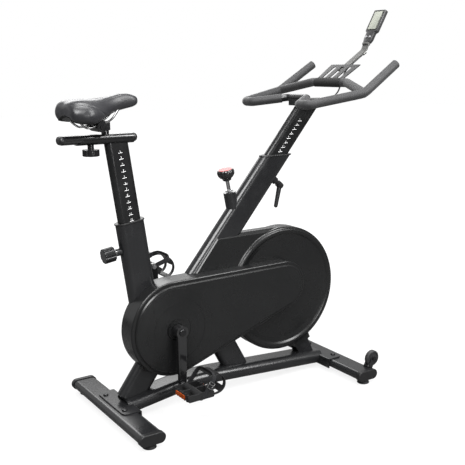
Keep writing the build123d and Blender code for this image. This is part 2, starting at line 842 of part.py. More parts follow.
# Flywheel shaft, with the small belt pulley on its right end and a nut on its left.
flange_near = belt_near + pulley_flange
flange_far = belt_far - pulley_flange
shaft_end = flange_near + pulley_flange
with BuildPart() as flywheel_shaft:
    add(turned_about(flywheel_x, flywheel_z, 1, [
        (0, shaft_end), (flywheel_shaft_radius, shaft_end), (flywheel_shaft_radius, flange_near),
        (small_pulley_radius + pulley_flange, flange_near), (small_pulley_radius + pulley_flange, belt_near),
        (small_pulley_radius, belt_near), (small_pulley_radius, belt_far),
        (small_pulley_radius + pulley_flange, belt_far), (small_pulley_radius + pulley_flange, flange_far),
        (flywheel_shaft_radius, flange_far), (flywheel_shaft_radius, -fork_boss_outer),
        (0, -fork_boss_outer)]))
keep(flywheel_shaft.part, "flywheel_shaft")

# Drive belt, round both pulleys.
belt_inner = lobe(crank_x, crank_z, crank_pulley_radius + slide_gap,
                  flywheel_x, flywheel_z, small_pulley_radius + slide_gap)
belt_outer = lobe(crank_x, crank_z, crank_pulley_radius + slide_gap + belt_thick,
                  flywheel_x, flywheel_z, small_pulley_radius + slide_gap + belt_thick)
with BuildPart() as drive_belt:
    with BuildSketch(Plane.XZ.offset(belt_far + slide_gap)):
        add(belt_outer)
        add(belt_inner, mode=Mode.SUBTRACT)
    extrude(amount=belt_width - 2 * slide_gap)
keep(drive_belt.part, "drive_belt")

# Flywheel fork: two legs on the base tube with a bearing boss at the top of each.
with BuildPart() as flywheel_fork:
    for near in (fork_inner, -fork_inner - fork_plate):
        with BuildSketch(Plane.XZ.offset(near)):
            with Locations((flywheel_x, flywheel_z)):
                Circle(fork_boss_radius)
            with Locations((fork_foot_x, base_end_height)):
                Rectangle(fork_foot_width, base_height / 2)
            make_hull()
        extrude(amount=fork_plate)
    for near in (fork_boss_inner, -fork_boss_outer):
        add(cross_bar(flywheel_x, flywheel_z, fork_boss_radius, near,
                      near + fork_boss_outer - fork_boss_inner))
    add(cross_bar(flywheel_x, flywheel_z, flywheel_bearing_radius, -fork_boss_outer, fork_boss_outer),
        mode=Mode.SUBTRACT)
    add(base_core, mode=Mode.SUBTRACT)
    for lump in flywheel_fork.solids().filter_by(lambda s: s.center().Z < base_end_height):
        add(lump, mode=Mode.SUBTRACT)
keep(flywheel_fork.part, "flywheel_fork")

with BuildPart() as flywheel_bearings:
    for near in (fork_boss_inner, -fork_boss_outer):
        add(cross_bar(flywheel_x, flywheel_z, flywheel_bearing_radius, near,
                      near + fork_boss_outer - fork_boss_inner))
    add(cross_bar(flywheel_x, flywheel_z, flywheel_shaft_radius + run_fit, -fork_boss_outer, fork_boss_outer),
        mode=Mode.SUBTRACT)

# ================================================================ covers
# Room that the frame tubes take where they pass through a cover.
tube_rooms = [
    oval_bar(bar_axis, main_tube_width + 2 * cover_gap, main_tube_thick + 2 * cover_gap,
             crank_along, main_tube_width),
    oval_bar(rear_axis, rear_strut_width + 2 * cover_gap, rear_strut_thick + 2 * cover_gap,
             -rear_strut_width, rear_top),
    oval_bar(seat_axis, seat_tube_width + 2 * cover_gap, seat_tube_thick + 2 * cover_gap, seat_foot, 0),
    oval_bar(front_axis, front_strut_width + 2 * cover_gap, front_strut_thick + 2 * cover_gap,
             front_foot, front_top)]
shell_room = cross_bar(crank_x, crank_z, shell_radius + cover_gap, -shell_half, shell_half)
fork_turn = degrees(atan2(base_end_height - flywheel_z, fork_foot_x - flywheel_x))


def flywheel_cover_form(side, inset):
    """One half of the flywheel cover's outer form, or of its hollow where inset is the wall."""
    rim = fly_cover_radius - inset
    crest = fly_rim_crest - inset
    dish = fly_dish_depth - inset
    face = fly_cover_half - inset
    with BuildPart() as form:
        with BuildSketch(Plane.XY.offset(fly_cover_z)):
            with BuildLine():
                FilletPolyline((fly_cover_x, 0), (fly_cover_x + rim, 0), (fly_cover_x + rim, -side * crest),
                               (fly_cover_x + fly_rim_inner, -side * crest),
                               (fly_cover_x + fly_dish_radius, -side * dish), (fly_cover_x, -side * dish),
                               radius=[0, fly_rim_round - inset, fly_rim_round - inset, fly_dish_round])
                Line((fly_cover_x, -side * dish), (fly_cover_x, 0))
            make_face()
        revolve(axis=Axis((fly_cover_x, 0, fly_cover_z), (0, 1, 0)))
    with BuildPart() as bridge:
        with BuildSketch(Plane.XZ):
            with BuildLine():
                Polyline((bridge_top_x, bridge_top_z), (fly_cover_x, bridge_top_z),
                         (fly_cover_x, fly_cover_z),
                         (fly_cover_x - fly_cover_radius * cos(radians(bridge_low_turn)),
                          fly_cover_z - fly_cover_radius * sin(radians(bridge_low_turn))),
                         (bridge_low_x, bridge_low_z), close=True)
            make_face()
            offset(amount=-inset, kind=Kind.INTERSECTION)
        extrude(amount=side * face)
        face_edges = bridge.faces().sort_by(Axis.Y)[0 if side > 0 else -1].edges()
        chamfer([face_edges.sort_by(Axis.Z)[-1], face_edges.sort_by(Axis.X)[0]], bridge_bevel)
    with BuildPart() as tail:
        with BuildSketch(Plane.XZ):
            with Locations((flywheel_x, flywheel_z)):
                Rectangle(tail_reach + inset * 4, 2 * (tail_half_width - inset), rotation=fork_turn,
                          align=(Align.MIN, Align.CENTER))
        extrude(amount=side * (fly_dish_depth - inset))
    with BuildPart() as whole:
        add(form.part)
        add(bridge.part)
        add(tail.part)
    return whole.part


def flywheel_cover(side, hub_hole):
    """Half shell: right is 1, left is -1."""
    with BuildPart() as half:
        add(flywheel_cover_form(side, 0))
        add(flywheel_cover_form(side, cover_wall), mode=Mode.SUBTRACT)
        for room in tube_rooms:
            add(room, mode=Mode.SUBTRACT)
        with Locations((fork_foot_x, 0, base_end_height)):
            Box(4 * tail_half_width, base_width, base_height + 2 * cover_gap, mode=Mode.SUBTRACT)
        if hub_hole:
            add(cross_bar(flywheel_x, flywheel_z, fly_hole_radius, -fly_rim_crest, fly_rim_crest),
                mode=Mode.SUBTRACT)
    return half.part


right_cover = flywheel_cover(1, True)
left_cover = flywheel_cover(-1, False)
keep(right_cover, "flywheel_cover_right")
keep(left_cover, "flywheel_cover_left")

# Belt cover: a deep outer shell with a raised face, and an inner shell cut round the frame.


def guard(inset):
    return lobe(crank_x, crank_z, belt_cover_rear - inset,
                belt_cover_front_x, belt_cover_front_z, belt_cover_front - inset)


def guard_form(inset, back, flange, face):
    """Solid inside the belt cover's outline, from back to its flange and its raised face."""
    with BuildPart() as form:
        with BuildSketch(Plane.XZ.offset(back)):
            add(guard(inset))
        extrude(amount=flange - back)
        rim = form.faces().sort_by(Axis.Y)[0].edges()
        fillet(rim, belt_cover_round - inset)
        with BuildSketch(Plane.XZ.offset(flange)):
            add(guard(belt_cover_inset + inset))
        extrude(amount=face - flange)
        face_edges = form.faces().sort_by(Axis.Y)[0].edges()
        chamfer(face_edges, (face - flange) * 0.6)
    return form.part


right_form = flywheel_cover_form(1, -snug)
left_form = flywheel_cover_form(-1, -snug)
guard_outer = guard_form(0, belt_cover_split, belt_cover_flange, belt_cover_face)
guard_hollow = guard_form(cover_wall, belt_cover_split, belt_cover_flange - cover_wall,
                          belt_cover_face - cover_wall)
with BuildPart() as belt_cover_outer:
    add(guard_outer)
    add(guard_hollow, mode=Mode.SUBTRACT)
    add(right_form, mode=Mode.SUBTRACT)
    add(cross_bar(crank_x, crank_z, crank_collar_outer, belt_cover_face, belt_cover_face + crank_collar_rise))
    for step in range(ring_count):
        ring = ring_outer - step * ring_pitch
        with BuildSketch(Plane.XZ.offset(belt_cover_face)):
            with Locations((crank_x, crank_z)):
                Circle(ring)
                Circle(ring - ring_width, mode=Mode.SUBTRACT)
        extrude(amount=ring_height)
    add(cross_bar(crank_x, crank_z, crank_boss_radius + cover_gap, 0, right_end), mode=Mode.SUBTRACT)
keep(belt_cover_outer.part, "belt_cover_outer")

with BuildPart() as guard_wall:
    with BuildSketch(Plane.XZ.offset(-belt_cover_back)):
        add(guard(0))
    extrude(amount=belt_cover_split - snug + belt_cover_back)
with BuildPart() as belt_cover_inner:
    add(guard_wall.part)
    with BuildSketch(Plane.XZ.offset(-belt_cover_back + cover_wall)):
        add(guard(cover_wall))
    extrude(amount=belt_cover_split + belt_cover_back, mode=Mode.SUBTRACT)
    add(right_form, mode=Mode.SUBTRACT)
    add(left_form, mode=Mode.SUBTRACT)
    for room in tube_rooms:
        add(room, mode=Mode.SUBTRACT)
    add(shell_room, mode=Mode.SUBTRACT)
    crumbs = belt_cover_inner.solids().sort_by(SortBy.VOLUME)[:-1]
    for crumb in crumbs:
        add(crumb, mode=Mode.SUBTRACT)
keep(belt_cover_inner.part, "belt_cover_inner")

# ================================================================ resistance
# Knob on its rod: pressed down it stops the flywheel, turned it sets the load.
rod_end = -brake_reach
with BuildPart() as brake_rod:
    add(round_bar(brake_axis, brake_rod_radius, rod_end, knob_top - knob_height / 2))
    add(round_bar(brake_axis, brake_collar_radius, brake_boss_top + brake_push + slide_gap,
                  brake_boss_top + brake_push + slide_gap + brake_collar))
keep(brake_rod.part, "brake_rod")

knob_foot = knob_top - knob_height
neck_foot = brake_boss_top + brake_push + 2 * slide_gap + brake_collar
with BuildPart() as resistance_knob:
    add(round_bar(brake_axis, knob_neck_radius, neck_foot, knob_foot + knob_height / 2))
    with BuildSketch(brake_axis.offset(knob_foot)):
        Circle(knob_radius)
        with PolarLocations(knob_radius + knob_flute * 0.6, knob_flutes):
            Circle(knob_flute, mode=Mode.SUBTRACT)
    extrude(amount=knob_height)
    top_edges = resistance_knob.faces().sort_by(Axis(brake_axis.origin, brake_axis.z_dir))[-1].edges()
    fillet(top_edges, 3)
    add(round_bar(brake_axis, brake_rod_radius + run_fit, 0, knob_top - knob_height / 2 + slide_gap),
        mode=Mode.SUBTRACT)
keep(resistance_knob.part, "resistance_knob")

# Bronze guide bushes that hold the rod in the boss.
with BuildPart() as brake_guides:
    for start in (brake_boss_top - guide_length, guide_foot):
        add(round_bar(brake_axis, brake_guide_radius, start, start + guide_length))
    add(round_bar(brake_axis, brake_rod_radius + run_fit, -main_tube_width, brake_boss_top),
        mode=Mode.SUBTRACT)
keep(Compound(children=[crank_bearings.part, flywheel_bearings.part, brake_guides.part]), "bearings")

# Felt pad in a steel carrier that screws onto the rod's lower end.
pad_travel = brake_push + brake_turn_travel
rim_gap = pad_travel + brake_clear
pad_inner = flywheel_radius + rim_gap
pad_spot = point(brake_axis, rod_end)
pad_turn = degrees(atan2(pad_spot.Z - flywheel_z, pad_spot.X - flywheel_x))


def rim_sector(inner, outer, half_angle, half_width):
    """Block that follows the flywheel's rim, centred where the brake rod points."""
    hub = (flywheel_x, flywheel_z)
    with BuildPart() as block:
        with BuildSketch(Plane.XZ.offset(-half_width)):
            with BuildLine():
                near = CenterArc(hub, inner, pad_turn - half_angle, 2 * half_angle)
                far = CenterArc(hub, outer, pad_turn - half_angle, 2 * half_angle)
                Line(near @ 0, far @ 0)
                Line(near @ 1, far @ 1)
            make_face()
        extrude(amount=2 * half_width)
    return block.part


with BuildPart() as brake_pad:
    add(rim_sector(pad_inner, pad_inner + pad_thick, pad_half_angle, pad_half_width))
keep(brake_pad.part, "brake_pad")

with BuildPart() as brake_carrier:
    add(round_bar(brake_axis, carrier_neck_radius, rod_end - carrier_neck, rod_end + carrier_neck))
    add(cross_bar(flywheel_x, flywheel_z, pad_inner + pad_thick, -pad_half_width, pad_half_width),
        mode=Mode.SUBTRACT)
    add(rim_sector(pad_inner + pad_thick, pad_inner + pad_thick + carrier_thick,
                   pad_half_angle, pad_half_width))
    add(round_bar(brake_axis, brake_rod_radius + run_fit, rod_end - slide_gap, 0), mode=Mode.SUBTRACT)
keep(brake_carrier.part, "brake_carrier")

# ================================================================ clamp lever
# Cam lever: its screw goes through the main tube's boss, drawn back clear of the post.
lever_hub_start = lever_boss_face + slide_gap + lever_collar
elbow = point(lever_axis, lever_hub_start + lever_hub - lever_hub_radius)
arm_end = elbow + lever_axis.z_dir * (lever_arm * cos(radians(lever_arm_lean))) \
    - lever_axis.x_dir * (lever_arm * sin(radians(lever_arm_lean)))
lever_way = arm_end - elbow
with BuildPart() as clamp_lever:
    add(round_bar(lever_axis, lever_screw_radius, post_width / 2 + slide_gap, lever_hub_start))
    add(round_bar(lever_axis, lever_collar_radius, lever_boss_face + slide_gap, lever_hub_start))
    add(round_bar(lever_axis, lever_hub_radius, lever_hub_start, lever_hub_start + lever_hub))
    hub_face = clamp_lever.faces().sort_by(Axis(lever_axis.origin, lever_axis.z_dir))[-1]
    fillet(hub_face.edges(), lever_hub_radius / 2)
    with BuildSketch(Plane(origin=elbow, z_dir=lever_way)):
        Circle(lever_arm_radius * 1.25)
    with BuildSketch(Plane(origin=arm_end, z_dir=lever_way)):
        Circle(lever_arm_radius)
    loft()
    with Locations(arm_end):
        Sphere(lever_arm_radius)
keep(clamp_lever.part, "clamp_lever")

# ================================================================ posts
post_lift = (seat_bracket_z - seat_mouth_z) / seat_axis.z_dir.Z
bar_lift = (head_z - bar_mouth_z) / bar_axis.z_dir.Z
channel_outer_height = slide_height + 2 * (slide_gap + channel_thick)
channel_outer_width = slide_width + 2 * (slide_gap + channel_thick)
slide_mid = seat_bracket_z + channel_outer_height / 2


def along_slide(x):
    """Plane across the saddle's slide, looking forwards."""
    return Plane(origin=(x, 0, slide_mid), x_dir=(0, 1, 0), z_dir=(1, 0, 0))


# Seat post: flat-oval tube with locking holes and the open channel that the saddle's slide runs in.
with BuildPart() as post_channel:
    with BuildSketch(along_slide(channel_rear)):
        SlotOverall(channel_outer_width, channel_outer_height)
        SlotOverall(slide_width + 2 * slide_gap, slide_height + 2 * slide_gap, mode=Mode.SUBTRACT)
    extrude(amount=channel_front - channel_rear)
    split(bisect_by=Plane.XY.offset(seat_bracket_z + channel_height), keep=Keep.BOTTOM)
    with BuildSketch(Plane.XZ.offset(-channel_outer_width)):
        with BuildLine():
            Polyline((channel_rear, seat_bracket_z + channel_height),
                     (channel_rear + channel_slant, seat_bracket_z + channel_height),
                     (channel_rear, seat_bracket_z + channel_thick), close=True)
        make_face()
    extrude(amount=2 * channel_outer_width, mode=Mode.SUBTRACT)
with BuildPart() as seat_post:
    add(oval_bar(seat_axis, post_width, post_thick, -post_insert, post_lift + post_width))
    add(oval_bar(seat_axis, post_width - 2 * post_wall, post_thick - 2 * post_wall,
                 -post_insert, post_lift + post_width), mode=Mode.SUBTRACT)
    split(bisect_by=Plane.XY.offset(seat_bracket_z + channel_thick), keep=Keep.BOTTOM)
    for step in range(-1, pin_holes):
        hole = Plane(origin=point(seat_axis, step * pin_hole_pitch - pin_drop), z_dir=-seat_axis.x_dir)
        add(round_bar(hole, pin_radius + slide_gap, 0, post_width), mode=Mode.SUBTRACT)
    with BuildSketch(along_slide(channel_rear)):
        SlotOverall(slide_width + 2 * slide_gap, slide_height + 2 * slide_gap)
    extrude(amount=channel_front - channel_rear, mode=Mode.SUBTRACT)
    add(post_channel.part)
    with Locations((clamp_x, 0, seat_bracket_z)):
        Cylinder(clamp_screw_radius + run_fit, 4 * channel_thick, mode=Mode.SUBTRACT)

# Locking pin of the seat post, drawn back clear of the post, and its fluted knob.
pin_tip = post_width / 2 + slide_gap
pin_knob_start = pin_boss_face + pin_knob_gap
pin_end = pin_knob_start + pin_knob_length / 2
with BuildPart() as seat_pin:
    add(round_bar(pin_axis, pin_radius, pin_tip, pin_end))
    add(round_bar(pin_axis, pin_collar_radius, pin_boss_face + slide_gap, pin_knob_start - slide_gap))
keep(seat_pin.part, "seat_pin")


def fluted_knob(plane, radius, height, flutes, flute):
    """Hand knob with flutes round its rim and a rounded outer edge."""
    with BuildPart() as knob:
        with BuildSketch(plane):
            Circle(radius)
            with PolarLocations(radius + flute * 0.5, flutes):
                Circle(flute, mode=Mode.SUBTRACT)
        extrude(amount=height)
        fillet(knob.faces().sort_by(Axis(plane.origin, plane.z_dir))[-1].edges(), flute * 0.6)
    return knob.part


with BuildPart() as seat_knob:
    add(fluted_knob(pin_axis.offset(pin_knob_start), pin_knob_radius, pin_knob_length, 8, 4))
    add(round_bar(pin_axis, pin_radius + run_fit, 0, pin_end + slide_gap), mode=Mode.SUBTRACT)
keep(seat_knob.part, "seat_knob")

# Saddle slide: flat-oval tube with a slot underneath for its clamp screw, plugs and the stub post.
slide_top = slide_mid + slide_height / 2
with BuildPart() as seat_slider:
    with BuildSketch(along_slide(slide_rear + slide_cap)):
        SlotOverall(slide_width, slide_height)
    extrude(amount=slide_front - slide_rear - 2 * slide_cap)
    with Locations((stub_x, 0, slide_top + stub_height / 2 - slide_wall)):
        Cylinder(stub_radius, stub_height + 2 * slide_wall)
    with BuildSketch(along_slide(slide_rear + slide_cap)):
        SlotOverall(slide_width - 2 * slide_wall, slide_height - 2 * slide_wall)
    extrude(amount=slide_front - slide_rear - 2 * slide_cap, mode=Mode.SUBTRACT)
    with BuildSketch(Plane.XY.offset(slide_mid)):
        with Locations((clamp_x, 0)):
            SlotOverall(2 * (slide_travel + clamp_screw_radius + cover_gap),
                        2 * (clamp_screw_radius + cover_gap))
    extrude(amount=-slide_height, mode=Mode.SUBTRACT)
keep(seat_slider.part, "seat_slider")

with BuildPart() as slider_caps:
    for x, way in ((slide_rear, 1), (slide_front, -1)):
        end = Plane(origin=(x, 0, slide_mid), x_dir=(0, 1, 0), z_dir=(way, 0, 0))
        with BuildSketch(end):
            SlotOverall(slide_width, slide_height)
        extrude(amount=slide_cap)
        fillet(slider_caps.faces().sort_by(Axis.X)[0 if way > 0 else -1].edges(), slide_cap * 0.75)
        with BuildSketch(end.offset(slide_cap)):
            SlotOverall(slide_width - 2 * (slide_wall + snug), slide_height - 2 * (slide_wall + snug))
        extrude(amount=slide_cap)
keep(slider_caps.part, "slider_caps")

# Clamp screw and knob under the channel, and the plate inside the slide that the screw pulls down.
slide_floor = slide_mid - slide_height / 2 + slide_wall
knob_z = seat_bracket_z - slide_gap - clamp_neck - clamp_knob_height
with BuildPart() as slider_knob:
    add(fluted_knob(Plane(origin=(clamp_x, 0, knob_z + clamp_knob_height), x_dir=(1, 0, 0), z_dir=(0, 0, -1)),
                    clamp_knob_radius, clamp_knob_height, 8, 4))
    with Locations((clamp_x, 0, knob_z + clamp_knob_height)):
        Cylinder(clamp_neck_radius, clamp_neck, align=(Align.CENTER, Align.CENTER, Align.MIN))
        Cylinder(clamp_screw_radius, slide_floor + plate_thick + slide_gap - knob_z - clamp_knob_height,
                 align=(Align.CENTER, Align.CENTER, Align.MIN))
keep(slider_knob.part, "slider_knob")

with BuildPart() as slider_plate:
    with BuildSketch(Plane.XY.offset(slide_floor + slide_gap)):
        with Locations((clamp_x, 0)):
            RectangleRounded(plate_length, slide_width - slide_height, 3)
    extrude(amount=plate_thick)
    with Locations((clamp_x, 0, slide_mid)):
        Cylinder(clamp_screw_radius + run_fit, slide_height, mode=Mode.SUBTRACT)
keep(Compound(children=[seat_post.part, slider_plate.part]), "seat_post")

# Saddle clamp: a band round the stub with an ear, and two rail jaws that tilt on its cross bolt.
tilt_bolt = cross_bar(tilt_x, tilt_z, tilt_bolt_radius, -tilt_bolt_half, tilt_bolt_half)
with BuildPart() as clamp_band:
    with BuildSketch(Plane.XY.offset(tilt_z - band_height / 2)):
        with Locations((stub_x, 0)):
            Circle(stub_radius + snug + band_wall)
        with Locations((tilt_x, 0)):
            Rectangle(band_height / 2, 2 * ear_half)
        make_hull()
        with Locations((stub_x, 0)):
            Circle(stub_radius + snug, mode=Mode.SUBTRACT)
    extrude(amount=band_height)
    add(cross_bar(tilt_x, tilt_z, jaw_radius, -ear_half, ear_half))
    with Locations((stub_x, 0, tilt_z)):
        Cylinder(stub_radius + snug, 3 * band_height, mode=Mode.SUBTRACT)
    add(cross_bar(tilt_x, tilt_z, tilt_bolt_radius + run_fit, -tilt_bolt_half, tilt_bolt_half),
        mode=Mode.SUBTRACT)
keep(clamp_band.part, "clamp_band")

rail_points = [(-505, 34, 911), (-466, 26, 888), (-352, 16, 922), (-326, 11, 929)]


def rail(side, radius):
    """One saddle rail: a rod from the pan's rear socket, along under the clamp and up to the nose socket."""
    with BuildPart() as rod:
        with BuildLine() as route:
            FilletPolyline(*[(x, side * y, z) for x, y, z in rail_points], radius=rail_bend)
        with BuildSketch(Plane(origin=route.line @ 0, z_dir=route.line % 0)):
            Circle(radius)
        sweep()
    return rod.part


with BuildPart() as saddle_rails:
    add(rail(1, rail_radius))
    add(rail(-1, rail_radius))
keep(saddle_rails.part, "saddle_rails")

with BuildPart() as saddle_clamp:
    add(tilt_bolt)
    for side in (-1, 1):
        ends = sorted((side * (ear_half + slide_gap), side * tilt_bolt_half * 0.9))
        with BuildSketch(Plane.XZ.offset(ends[0])):
            with Locations((tilt_x, tilt_z)):
                Circle(jaw_radius)
            with Locations((tilt_x, tilt_z + rail_lift)):
                Circle(jaw_radius / 2)
            make_hull()
        extrude(amount=ends[1] - ends[0])
        nut = sorted((side * tilt_bolt_half * 0.9, side * tilt_bolt_half))
        with BuildSketch(Plane.XZ.offset(nut[0])):
            with Locations((tilt_x, tilt_z)):
                RegularPolygon(tilt_bolt_radius * 1.8, 6)
        extrude(amount=nut[1] - nut[0])
    add(rail(1, rail_radius), mode=Mode.SUBTRACT)
    add(rail(-1, rail_radius), mode=Mode.SUBTRACT)
keep(saddle_clamp.part, "saddle_clamp")

# Saddle: a stiff pan under a padded cover, both lofted through cross sections
# (x, half width, underside at the edge, top, how far the underside arches up in the middle).
saddle_sections = [(saddle_rear, 44, 926, 950, 6), (-556, 72, 914, 959, 14), (-522, 86, 903, 965, 20),
                   (-470, 86, 899, 967, 20), (-425, 58, 907, 967, 14), (-385, 33, 919, 972, 6),
                   (-335, 22, 931, 980, 2), (-305, 18, 937, 977, 1), (-293, 10, 945, 968, 1)]


def padding_section(x, half_width, low, high, arch):
    """Section of the padding: arched below, bulged at the sides, with a shallow groove along its crown."""
    rise = high - low
    edge = half_width * 0.86
    with BuildSketch(Plane(origin=(x, 0, 0), x_dir=(0, 1, 0), z_dir=(1, 0, 0))) as section:
        with BuildLine():
            Spline((edge, low), (half_width, low + rise * 0.4), (half_width * 0.62, high - rise * 0.06),
                   (0, high - rise * 0.04), (-half_width * 0.62, high - rise * 0.06),
                   (-half_width, low + rise * 0.4), (-edge, low))
            ThreePointArc((edge, low), (0, low + arch), (-edge, low))
        make_face()
    return section.sketch


def pan_section(x, half_width, low, high, arch):
    """Section of the pan, parallel to the padding's underside."""
    edge = half_width * 0.86
    top = low - slide_gap
    foot = top - saddle_pan
    with BuildSketch(Plane(origin=(x, 0, 0), x_dir=(0, 1, 0), z_dir=(1, 0, 0))) as section:
        with BuildLine():
            ThreePointArc((edge, top), (0, top + arch), (-edge, top))
            ThreePointArc((edge, foot), (0, foot + arch), (-edge, foot))
            Line((edge, top), (edge, foot))
            Line((-edge, top), (-edge, foot))
        make_face()
    return section.sketch


padding_faces = [padding_section(*row) for row in saddle_sections]
pan_faces = [pan_section(*row) for row in saddle_sections[1:-1]]
with BuildPart() as saddle_cover:
    loft(padding_faces)
keep(saddle_cover.part, "saddle_cover")

with BuildPart() as saddle_base:
    loft(pan_faces)
    for side in (-1, 1):
        for end, toward in ((rail_points[0], rail_points[1]), (rail_points[-1], rail_points[-2])):
            start = Vector(end[0], side * end[1], end[2])
            way = Vector(toward[0], side * toward[1], toward[2]) - start
            add(round_bar(Plane(origin=start, z_dir=way), saddle_socket, -saddle_pan, socket_length))
    add(saddle_cover.part, mode=Mode.SUBTRACT)
    add(rail(1, rail_radius), mode=Mode.SUBTRACT)
    add(rail(-1, rail_radius), mode=Mode.SUBTRACT)
keep(saddle_base.part, "saddle_base")

# ================================================================ handlebar
# Bar post: flat-oval tube with a head block across its top that cradles the handlebar.
with BuildPart() as bar_post:
    add(oval_bar(bar_axis, post_width, post_thick, -bar_insert, bar_lift + post_width))
    add(oval_bar(bar_axis, post_width - 2 * post_wall, post_thick - 2 * post_wall,
                 -bar_insert, bar_lift + post_width), mode=Mode.SUBTRACT)
    split(bisect_by=Plane.XY.offset(head_z + post_wall), keep=Keep.BOTTOM)
    with BuildSketch(Plane.XY.offset(head_z)):
        with Locations(((block_rear + block_front) / 2, 0)):
            RectangleRounded(block_front - block_rear, block_width, block_round)
    extrude(amount=block_height)
    add(round_bar(Plane(origin=(cross_x, 0, cross_z), z_dir=(0, 1, 0)), bar_radius,
                  -block_width, block_width), mode=Mode.SUBTRACT)
    with Locations((block_front, cable_y, head_z + block_height / 2)):
        Cylinder(cable_radius + slide_gap, 2 * cable_inlet, rotation=(0, 90, 0), mode=Mode.SUBTRACT)
keep(bar_post.part, "bar_post")


def bent_rod(points, bends, radius):
    """Round tube or sleeve bent through points, with one bend radius for each corner."""
    with BuildPart() as rod:
        with BuildLine() as route:
            FilletPolyline(*points, radius=bends)
        with BuildSketch(Plane(origin=route.line @ 0, z_dir=route.line % 0)):
            Circle(radius)
        sweep()
    return rod.part


# Handlebar: one long bent bar for the two loops and the horns, and a bridge bar between the forks.
side_points = [(horn_x, horn_y, horn_z), (fork_x, fork_y, fork_z), (loop_x, loop_outer_y, loop_z),
               (loop_x, loop_inner_y, loop_z), (cross_x, cross_half, cross_z)]
side_bends = [fork_bend, loop_bend, loop_bend, cross_bend]
half_bar = bent_rod(side_points + [(cross_x, 0, cross_z)], side_bends, bar_radius)
bridge_points = [(fork_x, fork_y, fork_z), (bridge_x, bridge_y, bridge_z),
                 (bridge_x, -bridge_y, bridge_z), (fork_x, -fork_y, fork_z)]
bridge_bar = bent_rod(bridge_points, [bridge_bend, bridge_bend], bar_radius)
with BuildPart() as handlebar:
    add(half_bar)
    mirror(half_bar, about=Plane.XZ)
    add(bridge_bar)
keep(handlebar.part, "handlebar")

# Foam grips: sleeves over both loops and horns, closed over the horns' ends, and over the bridge bar.
foam_stop = Vector(cross_x, cross_half, cross_z)
tip_way = (Vector(*side_points[0]) - Vector(*side_points[1])).normalized()
tip = Vector(*side_points[0]) + tip_way * horn_cap
foam_points = [(tip.X, tip.Y, tip.Z)] + side_points[1:]
stop_way = (Vector(*side_points[3]) - foam_stop).normalized()
grip_end = foam_stop + stop_way * cross_bend
foam_points[-1] = (grip_end.X, grip_end.Y, grip_end.Z)
foam_side = bent_rod(foam_points, side_bends[:3], foam_radius)
with BuildPart() as grips:
    add(foam_side)
    mirror(foam_side, about=Plane.XZ)
    add(bent_rod(bridge_points, [bridge_bend, bridge_bend], foam_radius))
    add(handlebar.part, mode=Mode.SUBTRACT)
keep(grips.part, "grips")

# Tray: a raked plate with open slots, its low edge lipped over the bridge bar.
tray_length = hypot(tray_high_x - tray_low_x, tray_high_z - tray_low_z)
tray_lean = degrees(atan2(tray_high_z - tray_low_z, tray_high_x - tray_low_x))
tray_plane = Plane(origin=(tray_low_x, 0, tray_low_z),
                   x_dir=(cos(radians(tray_lean)), 0, sin(radians(tray_lean))),
                   z_dir=(-sin(radians(tray_lean)), 0, cos(radians(tray_lean))))
slot_length = tray_length - 2 * tray_slot_margin
with BuildPart() as tray:
    with BuildSketch(tray_plane):
        with BuildLine():
            Polyline((0, -tray_low_half), (tray_length, -tray_high_half), (tray_length, tray_high_half),
                     (0, tray_low_half), close=True)
        make_face()
        with Locations((tray_length / 2, 0)):
            with GridLocations(0, tray_slot_pitch, 1, tray_slots):
                RectangleRounded(slot_length, tray_slot_width, tray_slot_width / 4, mode=Mode.SUBTRACT)
    extrude(amount=tray_thick)
    add(bent_rod(bridge_points, [bridge_bend, bridge_bend], foam_radius + snug), mode=Mode.SUBTRACT)
keep(tray.part, "tray")

# ---------------------------------------------------------------- console
# Arm: a bent strap from the tray's back up to the console's hinge barrel.
arm_start = tray_plane.from_local_coords(Vector(tray_length - arm_overlap, 0, -arm_thickness / 2))
arm_corner = tray_plane.from_local_coords(Vector(tray_length + arm_reach, 0, -arm_thickness / 2))
# Signal cable: from a gland under the arm, down behind the tray and into the head block.
inlet_z = head_z + block_height / 2
cable_points = [(572, 1095), (521, 1062), (483, 1034), (466, 990), (458, 969), (442, 954), (416, inlet_z),
                (block_front - cable_inlet, inlet_z)]
cable_route = [Vector(x, cable_y, z) for x, z in cable_points]
cord_start = cable_route[0]
cord_way = (cable_route[1] - cable_route[0]).normalized()
barrel = round_bar(Plane(origin=(hinge_x, 0, hinge_z), z_dir=(0, 1, 0)), hinge_radius,
                   -hinge_half, hinge_half)
with BuildPart() as console_arm:
    with BuildLine(Plane.XZ) as arm_line:
        FilletPolyline((arm_start.X, arm_start.Z), (arm_corner.X, arm_corner.Z), (hinge_x, hinge_z),
                       radius=arm_bend)
    with BuildSketch(Plane(origin=arm_line.line @ 0, x_dir=(0, 1, 0), z_dir=arm_line.line % 0)):
        Rectangle(arm_width, arm_thickness)
    sweep()
    add(barrel)
    add(round_bar(Plane(origin=cord_start, z_dir=cord_way), gland_radius, -gland_grip, gland_length))
    add(round_bar(Plane(origin=cord_start, z_dir=cord_way), cable_radius + slide_gap, 0, 2 * gland_length),
        mode=Mode.SUBTRACT)
keep(console_arm.part, "console_arm")

# Console: a slim housing with hinge ears, its window on the face and a row of buttons below.
face_turn = radians(console_lean)
face_up = Vector(cos(face_turn), 0, sin(face_turn))
face_out = Vector(-sin(face_turn), 0, cos(face_turn))
console_plane = Plane(origin=(console_low_x, 0, console_low_z), x_dir=face_up, z_dir=face_out)


def on_face(along, out=0):
    return Plane(origin=console_plane.from_local_coords(Vector(along, 0, out)), x_dir=face_up, z_dir=face_out)


